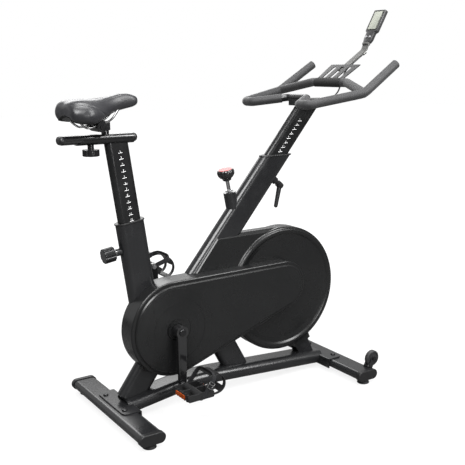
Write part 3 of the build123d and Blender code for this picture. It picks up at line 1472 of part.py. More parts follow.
screen_mid = screen_from + screen_length / 2
button_rows = [(button_from, -button_pitch / 2), (button_from, button_pitch / 2)]
with BuildPart() as console_body:
    with BuildSketch(on_face(console_length / 2, -console_depth)):
        RectangleRounded(console_length, console_width, console_corner)
    extrude(amount=console_depth)
    fillet(console_body.faces().sort_by(Axis(console_plane.origin, face_out))[-1].edges(), console_edge)
    with BuildSketch(on_face(screen_mid)):
        RectangleRounded(screen_length + 2 * snug, screen_width + 2 * snug, console_edge)
    extrude(amount=-screen_thick, mode=Mode.SUBTRACT)
    for along, side in button_rows:
        with BuildSketch(on_face(along)):
            with Locations((0, side)):
                Circle(button_radius + slide_gap)
        extrude(amount=-button_depth, mode=Mode.SUBTRACT)
    add(round_bar(Plane(origin=(hinge_x, 0, hinge_z), z_dir=(0, 1, 0)), hinge_radius + hinge_gap,
                  -hinge_half - slide_gap, hinge_half + slide_gap), mode=Mode.SUBTRACT)
keep(console_body.part, "console_body")

with BuildPart() as console_lens:
    with BuildSketch(on_face(screen_mid, snug - screen_thick)):
        RectangleRounded(screen_length, screen_width, console_edge)
    extrude(amount=screen_thick - snug)
keep(console_lens.part, "console_lens")
for name, (along, side) in zip(("console_button_right", "console_button_left"), button_rows):
    with BuildPart() as button:
        with BuildSketch(on_face(along, slide_gap + button_travel - button_depth)):
            with Locations((0, side)):
                Circle(button_radius)
        extrude(amount=button_depth - slide_gap - button_travel + button_rise)
        fillet(button.faces().sort_by(Axis(console_plane.origin, face_out))[-1].edges(), button_rise / 2)
    keep(button.part, name)


# Console cable: straight runs joined by arcs, each as large as its two runs allow.
def cord_radii(points):
    radii = []
    for before, corner, after in zip(points, points[1:], points[2:]):
        first = corner - before
        second = after - corner
        half_turn = radians(first.get_angle(second)) / 2
        radii.append(0.45 * min(first.length, second.length) / tan(half_turn))
    return radii


cable_bends = cord_radii(cable_route)
print("cable bend radii", [round(radius, 1) for radius in cable_bends])
with BuildPart() as console_cable:
    with BuildLine() as cable_line:
        FilletPolyline(*cable_route, radius=cable_bends)
    with BuildSketch(Plane(origin=cable_line.line @ 0, z_dir=cable_line.line % 0)):
        Circle(cable_radius)
    sweep()
cable_length = cable_line.wires()[0].length
print("cable length", round(cable_length, 1), "volume", round(console_cable.part.volume, 1),
      "section x length", round(pi * cable_radius ** 2 * cable_length, 1))
keep(console_cable.part, "console_cable")

# ================================================================ pedals


def pedal_plane(side, z, dip, out):
    """Plane along a pedal, normal pointing outwards; out is the distance from its inner face."""
    turn = radians(dip)
    y = right_end + pedal_gap if side < 0 else left_end + pedal_gap
    return Plane(origin=(crank_x, side * (y + out), z), x_dir=(cos(turn), 0, -sin(turn)), z_dir=(0, side, 0))


def slab(plane, points, depth):
    """Solid of a closed outline, extruded along its plane's normal."""
    with BuildPart() as body:
        with BuildSketch(plane):
            with BuildLine():
                Polyline(*points, close=True)
            make_face()
        extrude(amount=depth)
    return body.part


def pedal(side, z, dip):
    """Platform pedal: barrel, two end plates, a middle rib, and toothed rails in front and behind."""
    pitch = (pedal_width - 2 * pedal_plate) / pedal_teeth
    rail_middle = pedal_reach - pedal_rail / 2
    with BuildPart() as body:
        with BuildSketch(pedal_plane(side, z, dip, 0)):
            Circle(pedal_barrel)
            with Locations((-rail_middle, 0), (rail_middle, 0)):
                Rectangle(pedal_rail, pedal_rail_height - 2 * pedal_tooth_depth)
        extrude(amount=pedal_width)
        for start in (0, (pedal_width - pedal_plate) / 2, pedal_width - pedal_plate):
            with BuildSketch(pedal_plane(side, z, dip, start)):
                RectangleRounded(2 * pedal_reach, pedal_rail_height, pedal_tooth_depth)
                Circle(pedal_barrel)
            extrude(amount=pedal_plate)
        for tooth in range(pedal_teeth):
            with BuildSketch(pedal_plane(side, z, dip, pedal_plate + (tooth + 0.25) * pitch)):
                with Locations((-rail_middle, 0), (rail_middle, 0)):
                    Rectangle(pedal_rail, pedal_rail_height)
            extrude(amount=pitch / 2)
        with BuildSketch(pedal_plane(side, z, dip, 0)):
            Circle(pedal_radius + run_fit)
        extrude(amount=pedal_width - pedal_wall, mode=Mode.SUBTRACT)
    return body.part


def toe_cage(side, z, dip):
    """Cage bolted under the pedal's front rail, with open windows, and the strap that crosses over it."""
    up = -side
    low = -pedal_rail_height / 2 - cage_wall / 2 - snug
    middle = pedal_plane(side, z, dip, pedal_width / 2)
    path = [(pedal_reach - 2 * pedal_rail, low), (pedal_reach + pedal_rail, low),
            (cage_front - cage_chin / 2, low + cage_lift), (cage_front, cage_chin),
            (cage_front - cage_lift * 2, cage_brow), (cage_top_x, cage_top)]
    with BuildPart() as cage:
        with BuildLine(middle) as strip:
            FilletPolyline(*[(x, up * y) for x, y in path], radius=cage_bend)
        with BuildSketch(Plane(origin=strip.line @ 0, x_dir=middle.z_dir, z_dir=strip.line % 0)):
            Rectangle(cage_width, cage_wall)
        sweep()
        for across in (-cage_window_y, cage_window_y):
            for x1, x2, y1, y2 in cage_windows:
                window = middle.offset(across - cage_window / 2)
                add(slab(window, [(x1, up * y1), (x2, up * y1), (x2, up * y2), (x1, up * y2)], cage_window),
                    mode=Mode.SUBTRACT)
    with BuildPart() as strap:
        slant = radians(strap_lean)
        run = (cos(slant), sin(slant))
        for start in (-strap_wall - snug, pedal_width + snug):
            side_run = pedal_plane(side, z, dip, start)
            add(slab(side_run, strap_strip(run, up, 0, strap_length), strap_wall))
        add(slab(pedal_plane(side, z, dip, -strap_wall - snug),
                 strap_strip(run, up, strap_length - strap_wall, strap_length),
                 pedal_width + 2 * (strap_wall + snug)))
    return Compound(children=[cage.part, strap.part])


def strap_strip(run, up, near, far):
    """Outline of a stretch of strap, seen from the side: near and far are distances along its slant."""
    half = strap_width / 2
    corners = ((near, -half), (far, -half), (far, half), (near, half))
    return [(strap_foot_x + along * run[0] - across * run[1],
             up * (strap_foot_z + along * run[1] + across * run[0])) for along, across in corners]


def reflectors(side, z, dip):
    """Plates on the outer faces of the front and rear rails."""
    with BuildPart() as pair:
        with BuildSketch(pedal_plane(side, z, dip, (pedal_width - reflector_length) / 2)):
            with Locations((-pedal_reach - reflector_thick / 2, 0), (pedal_reach + reflector_thick / 2, 0)):
                Rectangle(reflector_thick, reflector_height)
        extrude(amount=reflector_length)
    return pair.part


for name, side, z, dip in (("right", -1, right_pedal_z, 0), ("left", 1, left_pedal_z, left_pedal_dip)):
    keep(pedal(side, z, dip), f"pedal_{name}")
    keep(toe_cage(side, z, dip), f"toe_cage_{name}")
    keep(reflectors(side, z, dip), f"pedal_reflectors_{name}")
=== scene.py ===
import json
from math import atan2, cos, hypot, pi, radians, sin

import bmesh
import bpy
from mathutils import Matrix, Vector


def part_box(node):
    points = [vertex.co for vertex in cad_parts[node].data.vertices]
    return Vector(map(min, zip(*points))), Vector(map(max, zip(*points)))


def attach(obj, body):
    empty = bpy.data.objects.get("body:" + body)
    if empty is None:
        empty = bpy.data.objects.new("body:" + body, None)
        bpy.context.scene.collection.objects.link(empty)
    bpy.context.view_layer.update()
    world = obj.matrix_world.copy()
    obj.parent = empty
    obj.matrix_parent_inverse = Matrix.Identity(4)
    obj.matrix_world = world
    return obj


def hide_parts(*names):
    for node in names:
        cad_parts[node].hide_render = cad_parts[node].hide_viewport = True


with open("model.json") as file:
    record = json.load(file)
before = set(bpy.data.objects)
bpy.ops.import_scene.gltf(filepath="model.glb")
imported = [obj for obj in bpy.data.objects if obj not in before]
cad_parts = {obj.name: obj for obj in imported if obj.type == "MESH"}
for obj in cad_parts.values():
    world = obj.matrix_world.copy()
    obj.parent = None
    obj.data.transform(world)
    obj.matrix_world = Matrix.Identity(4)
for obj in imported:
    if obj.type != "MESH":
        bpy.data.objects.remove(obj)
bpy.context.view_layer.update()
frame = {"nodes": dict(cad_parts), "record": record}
nodes = frame["nodes"]

# Exercise bike. Metres, +X forward, +Y the rider's left, +Z up. Sizes below are in millimetres, as a
# maker would write them, and `mm` turns them into metres.
mm = 0.001

# Places along the bike are measured from midway between the two stabilizers, 225 ahead of the crank.
axle_low, axle_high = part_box("crank_axle")
crank_x = (axle_low.x + axle_high.x) / 2 / mm
crank_z = (axle_low.z + axle_high.z) / 2 / mm
midway = crank_x + 225


def spot(x, y, z):
    """A place on the bike, in metres."""
    return Vector((midway + x, y, z)) * mm


# Tube axes: the middle of each tube's mouth, and its lean from the level in degrees.
seat_mouth = (-336.6, 606.4)
seat_lean = 98.1
bar_mouth = (196.7, 766)
bar_lean = 50.24
brake_cross = 252       # from the bar tube's mouth down to the brake rod's crossing
brake_lean = 101.5


def frame_up(x, z, lean):
    """Matrix of a tube: local x points forwards across it, local z up along it."""
    turn = radians(lean)
    rise = Vector((cos(turn), 0, sin(turn)))
    across = Vector((sin(turn), 0, -cos(turn)))
    return frame_at(spot(x, 0, z), across, rise)


def frame_at(origin, x_way, z_way):
    """Matrix whose local x and z point along the given ways."""
    z_way = Vector(z_way).normalized()
    x_way = Vector(x_way)
    x_way = (x_way - z_way * x_way.dot(z_way)).normalized()
    y_way = z_way.cross(x_way)
    return Matrix(((x_way.x, y_way.x, z_way.x, origin[0]), (x_way.y, y_way.y, z_way.y, origin[1]),
                   (x_way.z, y_way.z, z_way.z, origin[2]), (0, 0, 0, 1)))


seat_tube = frame_up(*seat_mouth, seat_lean)
bar_tube = frame_up(*bar_mouth, bar_lean)
crossing = bar_tube @ Vector((0, 0, -brake_cross * mm))
brake_line = frame_at(crossing, (1, 0, 0), (cos(radians(brake_lean)), 0, sin(radians(brake_lean))))


# ---------------------------------------------------------------- materials
class Tone:
    """A number that varies over a surface; arithmetic on it adds Math nodes."""

    def __init__(self, look, socket):
        self.look = look
        self.socket = socket

    def math(self, operation, *values, clamp=False):
        return self.look.node("ShaderNodeMath", {"operation": operation, "use_clamp": clamp},
                              dict(enumerate((self,) + values)))

    def __add__(self, other):
        return self.math("ADD", other)

    def __mul__(self, other):
        return self.math("MULTIPLY", other)

    __radd__ = __add__
    __rmul__ = __mul__

    def step(self, low, high):
        """0 below low, 1 above high, smooth between."""
        return self.look.node("ShaderNodeMapRange", {"interpolation_type": "SMOOTHSTEP"},
                              {"Value": self, "From Min": low, "From Max": high})


class Look:
    """A material under construction: one Principled shader and the nodes that feed it."""

    def __init__(self, name, color, roughness, metallic=0.0, **fixed):
        self.material = bpy.data.materials.new(name)
        self.material.use_nodes = True
        self.tree = self.material.node_tree
        self.shader = self.tree.nodes["Principled BSDF"]
        self.place = self.node("ShaderNodeTexCoord", output="Object")
        self.set(**{"Base Color": (*color, 1), "Roughness": roughness, "Metallic": metallic})
        self.set(**{key.replace("_", " ").title().replace("Ior", "IOR"): value
                    for key, value in fixed.items()})
        self.material.diffuse_color = (*color, 1)

    def node(self, kind, settings=None, inputs=None, output=0):
        made = self.tree.nodes.new(kind)
        for key, value in (settings or {}).items():
            setattr(made, key, value)
        for key, value in (inputs or {}).items():
            self.join(value, made.inputs[key])
        return Tone(self, made.outputs[output])

    def join(self, value, socket):
        if isinstance(value, Tone):
            self.tree.links.new(value.socket, socket)
        else:
            socket.default_value = value

    def set(self, **inputs):
        for key, value in inputs.items():
            self.join(value, self.shader.inputs[key])

    def noise(self, size, detail=2.0, rough=0.5, place=None):
        """Noise whose features are about size millimetres wide."""
        return self.node("ShaderNodeTexNoise", {}, {"Vector": place or self.place, "Scale": 1 / (size * mm),
                                                     "Detail": detail, "Roughness": rough})

    def cells(self, size, feature="F1", place=None):
        return self.node("ShaderNodeTexVoronoi", {"feature": feature},
                         {"Vector": place or self.place, "Scale": 1 / (size * mm)})

    def blend(self, mask, low, high):
        """Colour from low to high as the mask goes from 0 to 1."""
        return self.node("ShaderNodeMix", {"data_type": "RGBA"},
                         {0: mask, 6: (*low, 1), 7: (*high, 1)}, output=2)

    def bump(self, height, depth, strength=1.0, under=None):
        """Relief: depth is in millimetres."""
        inputs = {"Height": height, "Distance": depth * mm, "Strength": strength}
        if under is not None:
            inputs["Normal"] = under
        return self.node("ShaderNodeBump", {}, inputs)


def powder_coat(name, color, roughness=0.4, dust=0.0, coat=0.12):
    """Satin powder coat: faint orange peel, with handling marks that change its gloss."""
    look = Look(name, color, roughness, specular_ior_level=0.45, coat_weight=coat, coat_roughness=0.12)
    peel = look.noise(1.6, detail=1.0)
    cloud = look.noise(90, detail=1.0)
    marks = look.noise(40, detail=2.0).step(0.5, 0.8)
    tint = tuple(channel * 1.9 + 0.012 for channel in color)
    look.set(**{"Base Color": look.blend(marks * dust + cloud.step(0.3, 0.8) * 0.12, color, tint),
                "Roughness": cloud * 0.08 + (roughness - 0.04) + marks * dust * 0.1,
                "Normal": look.bump(peel, 0.02, 0.12)})
    return look.material


def moulding(name, color, roughness=0.5, grain=0.9, depth=0.02, strength=0.15, **fixed):
    """Moulded plastic with a spark-eroded grain."""
    look = Look(name, color, roughness, specular_ior_level=0.4, **fixed)
    fine = look.cells(grain, "SMOOTH_F1")
    cloud = look.noise(90, detail=3.0)
    look.set(**{"Base Color": look.blend(cloud.step(0.25, 0.85) * 0.2, color,
                                         tuple(channel * 1.5 + 0.004 for channel in color)),
                "Roughness": cloud * 0.12 + (roughness - 0.06),
                "Normal": look.bump(fine, depth, strength)})
    return look.material


def foam_sleeve(name):
    """Closed-cell foam: soft skin with small pits and a faint bloom."""
    look = Look(name, (0.02, 0.02, 0.021), 0.6, specular_ior_level=0.4, sheen_weight=0.3,
                sheen_roughness=0.5, sheen_tint=(0.5, 0.5, 0.5, 1))
    pits = look.cells(0.9).step(0.1, 0.55)
    cloud = look.noise(35, detail=4.0)
    look.set(**{"Base Color": look.blend(cloud.step(0.35, 0.75) * 0.4, (0.018, 0.018, 0.019),
                                         (0.034, 0.034, 0.035)),
                "Normal": look.bump(pits, 0.08, 0.25)})
    return look.material


def vinyl(name):
    """Grained vinyl: shallow pebbles with creases between, glossier where it is stretched."""
    look = Look(name, (0.016, 0.016, 0.018), 0.42, specular_ior_level=0.5, sheen_weight=0.12,
                sheen_roughness=0.4, sheen_tint=(0.6, 0.6, 0.65, 1))
    pebbles = look.cells(1.5, "SMOOTH_F1")
    creases = look.cells(2.6, "DISTANCE_TO_EDGE").step(0.0, 0.09)
    cloud = look.noise(45, detail=2.0)
    soft = look.bump(pebbles, 0.03, 0.15)
    look.set(**{"Base Color": look.blend(cloud.step(0.3, 0.8) * 0.3, (0.015, 0.015, 0.017),
                                         (0.028, 0.028, 0.03)),
                "Roughness": cloud * 0.1 + 0.32,
                "Normal": look.bump(creases, 0.02, 0.15, under=soft)})
    return look.material


def plated(name, color=(0.72, 0.72, 0.73), roughness=0.14):
    """Bright plating with faint waves and small pits."""
    look = Look(name, color, roughness, metallic=1.0)
    wave = look.noise(14, detail=2.0)
    look.set(**{"Roughness": wave * 0.12 + (roughness - 0.05), "Normal": look.bump(wave, 0.02, 0.1)})
    return look.material


def turned(name, color=(0.5, 0.5, 0.51), roughness=0.32):
    """Turned and brushed steel, with fine marks across the bike."""
    look = Look(name, color, roughness, metallic=1.0)
    stretched = look.node("ShaderNodeMapping", {}, {"Vector": look.place, "Scale": (1, 0.08, 1)})
    marks = look.noise(0.8, detail=3.0, place=stretched)
    look.set(**{"Roughness": marks * 0.2 + (roughness - 0.08), "Normal": look.bump(marks, 0.02, 0.3)})
    return look.material


def rubber(name, color=(0.02, 0.02, 0.021), roughness=0.65):
    look = Look(name, color, roughness, specular_ior_level=0.35)
    grain = look.noise(0.9, detail=3.0)
    dust = look.noise(24, detail=5.0).step(0.5, 0.75)
    look.set(**{"Base Color": look.blend(dust * 0.5, color, tuple(channel * 2.2 for channel in color)),
                "Roughness": dust * 0.12 + roughness, "Normal": look.bump(grain, 0.06, 0.4)})
    return look.material


def cast(name):
    """Painted casting with a coarse skin."""
    look = Look(name, (0.05, 0.05, 0.053), 0.55, specular_ior_level=0.4)
    skin = look.noise(2.4, detail=4.0)
    look.set(**{"Roughness": skin * 0.2 + 0.42, "Normal": look.bump(skin, 0.12, 0.5)})
    return look.material


def felt(name):
    look = Look(name, (0.4, 0.37, 0.31), 0.95, specular_ior_level=0.1, sheen_weight=0.5)
    fibres = look.noise(0.7, detail=5.0, rough=0.7)
    look.set(**{"Base Color": look.blend(fibres, (0.3, 0.28, 0.23), (0.5, 0.46, 0.4)),
                "Normal": look.bump(fibres, 0.3, 0.7)})
    return look.material


def prismatic(name, color):
    """Moulded reflector: clear colour over rows of small prisms."""
    look = Look(name, color, 0.16, coat_weight=0.6, coat_roughness=0.08)
    prisms = look.cells(3.0, "DISTANCE_TO_EDGE")
    look.set(**{"Base Color": look.blend(prisms.step(0.02, 0.3), tuple(channel * 0.55 for channel in color),
                                         color),
                "Normal": look.bump(prisms, 0.5, 0.7)})
    return look.material


def webbing(name):
    """Woven strap: diagonal ribs crossed by fine threads."""
    look = Look(name, (0.012, 0.012, 0.013), 0.75, specular_ior_level=0.2, sheen_weight=0.05,
                sheen_roughness=0.5)
    ribs = look.node("ShaderNodeTexWave", {"wave_type": "BANDS", "bands_direction": "DIAGONAL"},
                     {"Vector": look.place, "Scale": 260.0, "Distortion": 0.4, "Detail": 1.0}, output=1)
    threads = look.noise(0.6, detail=3.0)
    look.set(**{"Base Color": look.blend(ribs * 0.6 + threads * 0.3, (0.006, 0.006, 0.007),
                                         (0.02, 0.02, 0.022)),
                "Normal": look.bump(ribs, 0.25, 0.7)})
    return look.material


def liquid_crystal(name):
    """Pale grey display under a clear window, darker where its segments lie unlit."""
    look = Look(name, (0.26, 0.27, 0.24), 0.4, specular_ior_level=0.15)
    shade = look.noise(30, detail=1.0)
    look.set(**{"Base Color": look.blend(shade.step(0.3, 0.7), (0.24, 0.25, 0.22), (0.3, 0.31, 0.27)),
                "Roughness": shade * 0.06 + 0.4})
    return look.material


def plain_ink(name, color):
    """Pad-printed ink, slightly worn."""
    look = Look(name, color, 0.5, specular_ior_level=0.3)
    wear = look.noise(1.8, detail=4.0).step(0.25, 0.5)
    look.set(**{"Base Color": look.blend(wear, tuple(channel * 0.75 for channel in color), color)})
    return look.material


paint = powder_coat("satin_paint", (0.0095, 0.0097, 0.0105), 0.27, dust=0.2)
post_paint = powder_coat("post_paint", (0.0055, 0.0057, 0.006), 0.26, dust=0.35)
gloss_paint = powder_coat("gloss_paint", (0.006, 0.006, 0.0065), 0.15, coat=1.0)
cover_plastic = moulding("cover_plastic", (0.0068, 0.007, 0.0072), 0.27)
trim_plastic = moulding("trim_plastic", (0.009, 0.009, 0.0095), 0.38)
pedal_plastic = moulding("pedal_plastic", (0.012, 0.012, 0.0125), 0.42, grain=0.7, depth=0.08)
knob_plastic = moulding("knob_plastic", (0.008, 0.008, 0.0085), 0.22, grain=1.2, strength=0.2,
                        coat_weight=0.4)
shell_plastic = moulding("console_shell", (0.03, 0.03, 0.031), 0.34, grain=0.6)
foam = foam_sleeve("foam")
skin = vinyl("saddle_vinyl")
chrome = plated("bright_plating", (0.4, 0.4, 0.4), 0.2)
dark_chrome = plated("black_oxide", (0.06, 0.06, 0.062), 0.22)
galvanised = plated("galvanised", (0.17, 0.17, 0.165), 0.45)
steel = turned("turned_steel")
foot_rubber = rubber("foot_rubber")
wheel_rubber = rubber("wheel_rubber", (0.024, 0.024, 0.025), 0.5)
belt_rubber = rubber("belt_rubber", (0.018, 0.018, 0.018))
jacket = rubber("cable_jacket", (0.018, 0.018, 0.019), 0.45)
iron = cast("flywheel_casting")
pulley_plastic = moulding("pulley_plastic", (0.05, 0.05, 0.055), 0.45)
pad_felt = felt("pressed_felt")
amber = prismatic("amber_lens", (0.5, 0.085, 0.012))
red_cap = moulding("red_cap", (0.36, 0.06, 0.06), 0.4, grain=1.5, strength=0.1)
strap_cloth = webbing("strap_webbing")
screen = liquid_crystal("display")
keys = moulding("key_rubber", (0.28, 0.28, 0.29), 0.6)
ink = plain_ink("scale_ink", (0.8, 0.8, 0.8))
# Near-black plastic with painted shade: the window rim, tray lip and saddle pan are drawn darker than their
# own plastic, to stand for the shade round and under them.
shadow_black = moulding("painted_shade_black", (0.006, 0.006, 0.006), 0.8)

finishes = {
    "frame_paint": paint, "cover_plastic": cover_plastic, "trim_plastic": trim_plastic,
    "post_paint": post_paint, "foam": foam, "saddle_skin": skin, "foot_rubber": foot_rubber,
    "wheel_rubber": wheel_rubber, "plated_steel": chrome, "turned_steel": steel,
    "crank_paint": gloss_paint, "flywheel_iron": iron, "pulley": pulley_plastic, "belt": belt_rubber,
    "felt": pad_felt, "pedal_plastic": pedal_plastic, "amber": amber, "knob_plastic": knob_plastic,
    "console_shell": shell_plastic, "screen": screen, "key_rubber": keys, "cable_jacket": jacket}
own_finishes = {
    "fasteners": dark_chrome, "console_arm": galvanised, "saddle_clamp": dark_chrome,
    "crank_axle": dark_chrome, "handlebar": post_paint, "seat_slider": gloss_paint,
    "seat_knob": knob_plastic, "slider_knob": knob_plastic}
for entry in frame["record"]["subparts"]:
    mesh = nodes[entry["node"]].data
    mesh.materials.clear()
    mesh.materials.append(own_finishes.get(entry["node"], finishes[entry["material_slot"]]))


# ---------------------------------------------------------------- making pieces
def finish(shape, name, body, look, crease=35):
    """Make a piece of a bmesh: its finish, its smooth shading, and the body that it rides on."""
    bmesh.ops.recalc_face_normals(shape, faces=shape.faces)
    mesh = bpy.data.meshes.new(name)
    shape.to_mesh(mesh)
    shape.free()
    for face in mesh.polygons:
        face.use_smooth = True
    mesh.set_sharp_from_angle(angle=radians(crease))
    mesh.materials.append(look)
    piece = bpy.data.objects.new(name, mesh)
    bpy.context.scene.collection.objects.link(piece)
    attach(piece, body)
    return piece


def lathe(shape, outline, place, steps=64):
    """Spin an outline of (radius, height) points in millimetres about a frame's local z."""
    fresh = bmesh.new()
    corners = [fresh.verts.new((radius * mm, 0, height * mm)) for radius, height in outline]
    edges = [fresh.edges.new(pair) for pair in zip(corners, corners[1:])]
    bmesh.ops.spin(fresh, geom=corners + edges, cent=(0, 0, 0), axis=(0, 0, 1), angle=2 * pi,
                   steps=steps, use_merge=True)
    bmesh.ops.remove_doubles(fresh, verts=fresh.verts, dist=1e-6)
    bmesh.ops.recalc_face_normals(fresh, faces=fresh.faces)
    fresh.transform(place)
    join(shape, fresh)


def join(shape, fresh):
    """Add one bmesh to another."""
    mesh = bpy.data.meshes.new("joining")
    fresh.to_mesh(mesh)
    fresh.free()
    shape.from_mesh(mesh)
    bpy.data.meshes.remove(mesh)


def block(shape, place, size, bevel=0.0):
    """A block of the given size in millimetres, centred on a frame, with rounded edges."""
    fresh = bmesh.new()
    bmesh.ops.create_cube(fresh, size=1)
    fresh.transform(Matrix.Diagonal((*[side * mm for side in size], 1)))
    if bevel:
        bmesh.ops.bevel(fresh, geom=fresh.edges[:], offset=bevel * mm, offset_type="OFFSET", segments=2,
                        profile=0.5, affect="EDGES", material=-1)
    fresh.transform(place)
    join(shape, fresh)


def moved(place, x=0.0, y=0.0, z=0.0):
    """A frame shifted in its own directions by millimetres."""
    return place @ Matrix.Translation((x * mm, y * mm, z * mm))


def wire(name, places, radius, roundness):
    """Curve of a round rod or lead that starts and ends at the first and last places."""
    curve = bpy.data.curves.new(name, "CURVE")
    curve.dimensions = "3D"
    line = curve.splines.new("NURBS")
    line.points.add(len(places) - 1)
    for point, place in zip(line.points, places):
        point.co = (*place, 1)
    line.order_u = 3
    line.use_endpoint_u = True
    curve.bevel_depth = radius * mm
    curve.bevel_resolution = roundness
    curve.use_fill_caps = True
    return curve


def add_curve(shape, curve, place=Matrix.Identity(4)):
    """Add a curve's mesh to a bmesh, and drop the curve."""
    holder = bpy.data.objects.new(curve.name, curve)
    mesh = bpy.data.meshes.new_from_object(holder)
    mesh.transform(place)
    shape.from_mesh(mesh)
    bpy.data.objects.remove(holder)
    bpy.data.curves.remove(curve)
    bpy.data.meshes.remove(mesh)


# ---------------------------------------------------------------- scales on the posts
ink_lift = 0.06
ink_thick = 0.12
post_face = -15.0
seat_marks = 12
seat_mark_pitch = 18.6
bar_marks = 8
bar_mark_pitch = 18
numeral_height = 6.2


def numeral(shape, text, place):
    """Plain numerals standing on a frame's x and y, a little proud of it."""
    curve = bpy.data.curves.new("numeral", "FONT")
    curve.body = text
    curve.size = numeral_height * mm * 1.4
    curve.align_x = "CENTER"
    curve.extrude = ink_thick * mm / 2
    curve.resolution_u = 2
    add_curve(shape, curve, place)


def seat_scale():
    """Numbered height marks, one for each locking hole, on the post's right face."""
    marks = bmesh.new()
    for step in range(seat_marks):
        level = moved(seat_tube, x=2, z=seat_mark_pitch * step + 5)
        face = frame_at(level @ Vector((0, post_face * mm, 0)), level.to_3x3() @ Vector((1, 0, 0)),
                        (0, -1, 0))
        block(marks, moved(face, z=ink_lift), (13, 1.6, ink_thick))
        numeral(marks, str(seat_marks - step), moved(face, y=1.6, z=ink_lift))
    return finish(marks, "seat_scale", "seat_mast", ink)


def bar_scale():
    """Numbered marks on the handlebar post, level with the floor."""
    marks = bmesh.new()
    for step in range(bar_marks):
        level = bar_tube @ Vector((0, post_face * mm, (bar_mark_pitch * step + 17) * mm))
        face = frame_at(level, (1, 0, 0), (0, -1, 0))
        block(marks, moved(face, z=ink_lift), (16, 1.6, ink_thick))
        numeral(marks, str(bar_marks - step), moved(face, y=1.6, z=ink_lift))
    return finish(marks, "bar_scale", "bar_mast", ink)


seat_scale()
bar_scale()


# ---------------------------------------------------------------- covers
belt_face = -72         # outer face of the belt cover
ring_pitch = 4.0
ring_count = 24
ring_relief = 0.6
fly_cover_x = 214
fly_cover_z = 316


def cover_rings():
    """Fine concentric ridges round the crank, moulded into the belt cover's face."""
    ridges = bmesh.new()
    outline = [(31, 0.1)]
    for step in range(ring_count):
        radius = 32 + ring_pitch * step
        outline += [(radius, 0.15), (radius + ring_pitch * 0.6, ring_relief),
                    (radius + ring_pitch * 0.75, ring_relief)]
    outline += [(129, 0.3), (130.5, -0.1)]
    face = frame_at((crank_x * mm, belt_face * mm, crank_z * mm), (1, 0, 0), (0, -1, 0))
    lathe(ridges, outline, face, steps=160)
    return finish(ridges, "cover_rings", "frame", cover_plastic, crease=50)


def cover_rim(name, outward):
    """Raised bead round a flywheel cover, with a round shoulder down to the dish."""
    bead = bmesh.new()
    outline = [(206.5, 29.5), (205.5, 31.8), (203, 33.2), (199, 33.7), (196, 33.5), (193.5, 32.4),
               (191, 30.8), (189, 29.3), (187, 28.0)]
    middle = frame_at(spot(fly_cover_x, 0, fly_cover_z), (1, 0, 0), (0, outward, 0))
    lathe(bead, outline, middle, steps=160)
    return finish(bead, name, "frame", cover_plastic, crease=70)


cover_rings()
cover_rim("cover_rim_right", -1)
cover_rim("cover_rim_left", 1)


# ---------------------------------------------------------------- resistance knob
flutes = 8
flute_depth = 1.8


def turned_piece(name, body, look, place, outline, steps=64, crease=35):
    """Lathe-turned piece on a frame's local z."""
    shape = bmesh.new()
    lathe(shape, outline, place, steps)
    return finish(shape, name, body, look, crease)


def resistance_knob():
    """Mushroom knob on a bright stem, with finger flutes round its edge and a red top."""
    shape = bmesh.new()
    outline = [(0, 130), (11, 130), (13.5, 131.5), (15, 137), (21, 141), (25, 146), (27, 150), (28, 158),
               (26.5, 163.5), (23.5, 166.6), (0, 166.6)]
    lathe(shape, outline, brake_line, steps=80)
    axis = brake_line.to_3x3() @ Vector((0, 0, 1))
    for vert in shape.verts:
        from_axis = brake_line.inverted() @ vert.co
        out = hypot(from_axis.x, from_axis.y) / mm
        if out > 20 and from_axis.z / mm < 165:
            turn = atan2(from_axis.y, from_axis.x)
            dip = max(0.0, cos(flutes * turn)) ** 3 * flute_depth * mm
            way = vert.co - brake_line.translation - axis * from_axis.z
            vert.co -= way.normalized() * dip
    knob = finish(shape, "resistance_grip", "load_knob", knob_plastic)
    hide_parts("resistance_knob")
    turned_piece("resistance_top", "load_knob", red_cap, brake_line,
                 [(22.5, 166.4), (21.8, 167.3), (14, 167.9), (0, 168)])
    turned_piece("resistance_stem", "load_knob", chrome, brake_line,
                 [(5.2, 96.5), (8.5, 96.5), (8.5, 100), (6, 101), (6, 131), (5.2, 131), (5.2, 96.5)])


resistance_knob()


# ---------------------------------------------------------------- console
console_lean = radians(60)
face_up = Vector((cos(console_lean), 0, sin(console_lean)))
face_out = Vector((-sin(console_lean), 0, cos(console_lean)))
console_face = frame_at(spot(583, 0, 1131), face_up, face_out)
window_middle = 87      # up the face, from the housing's lower end
window_rise = 35.8      # from there to its rim, up the face and across it
window_reach = 20.6


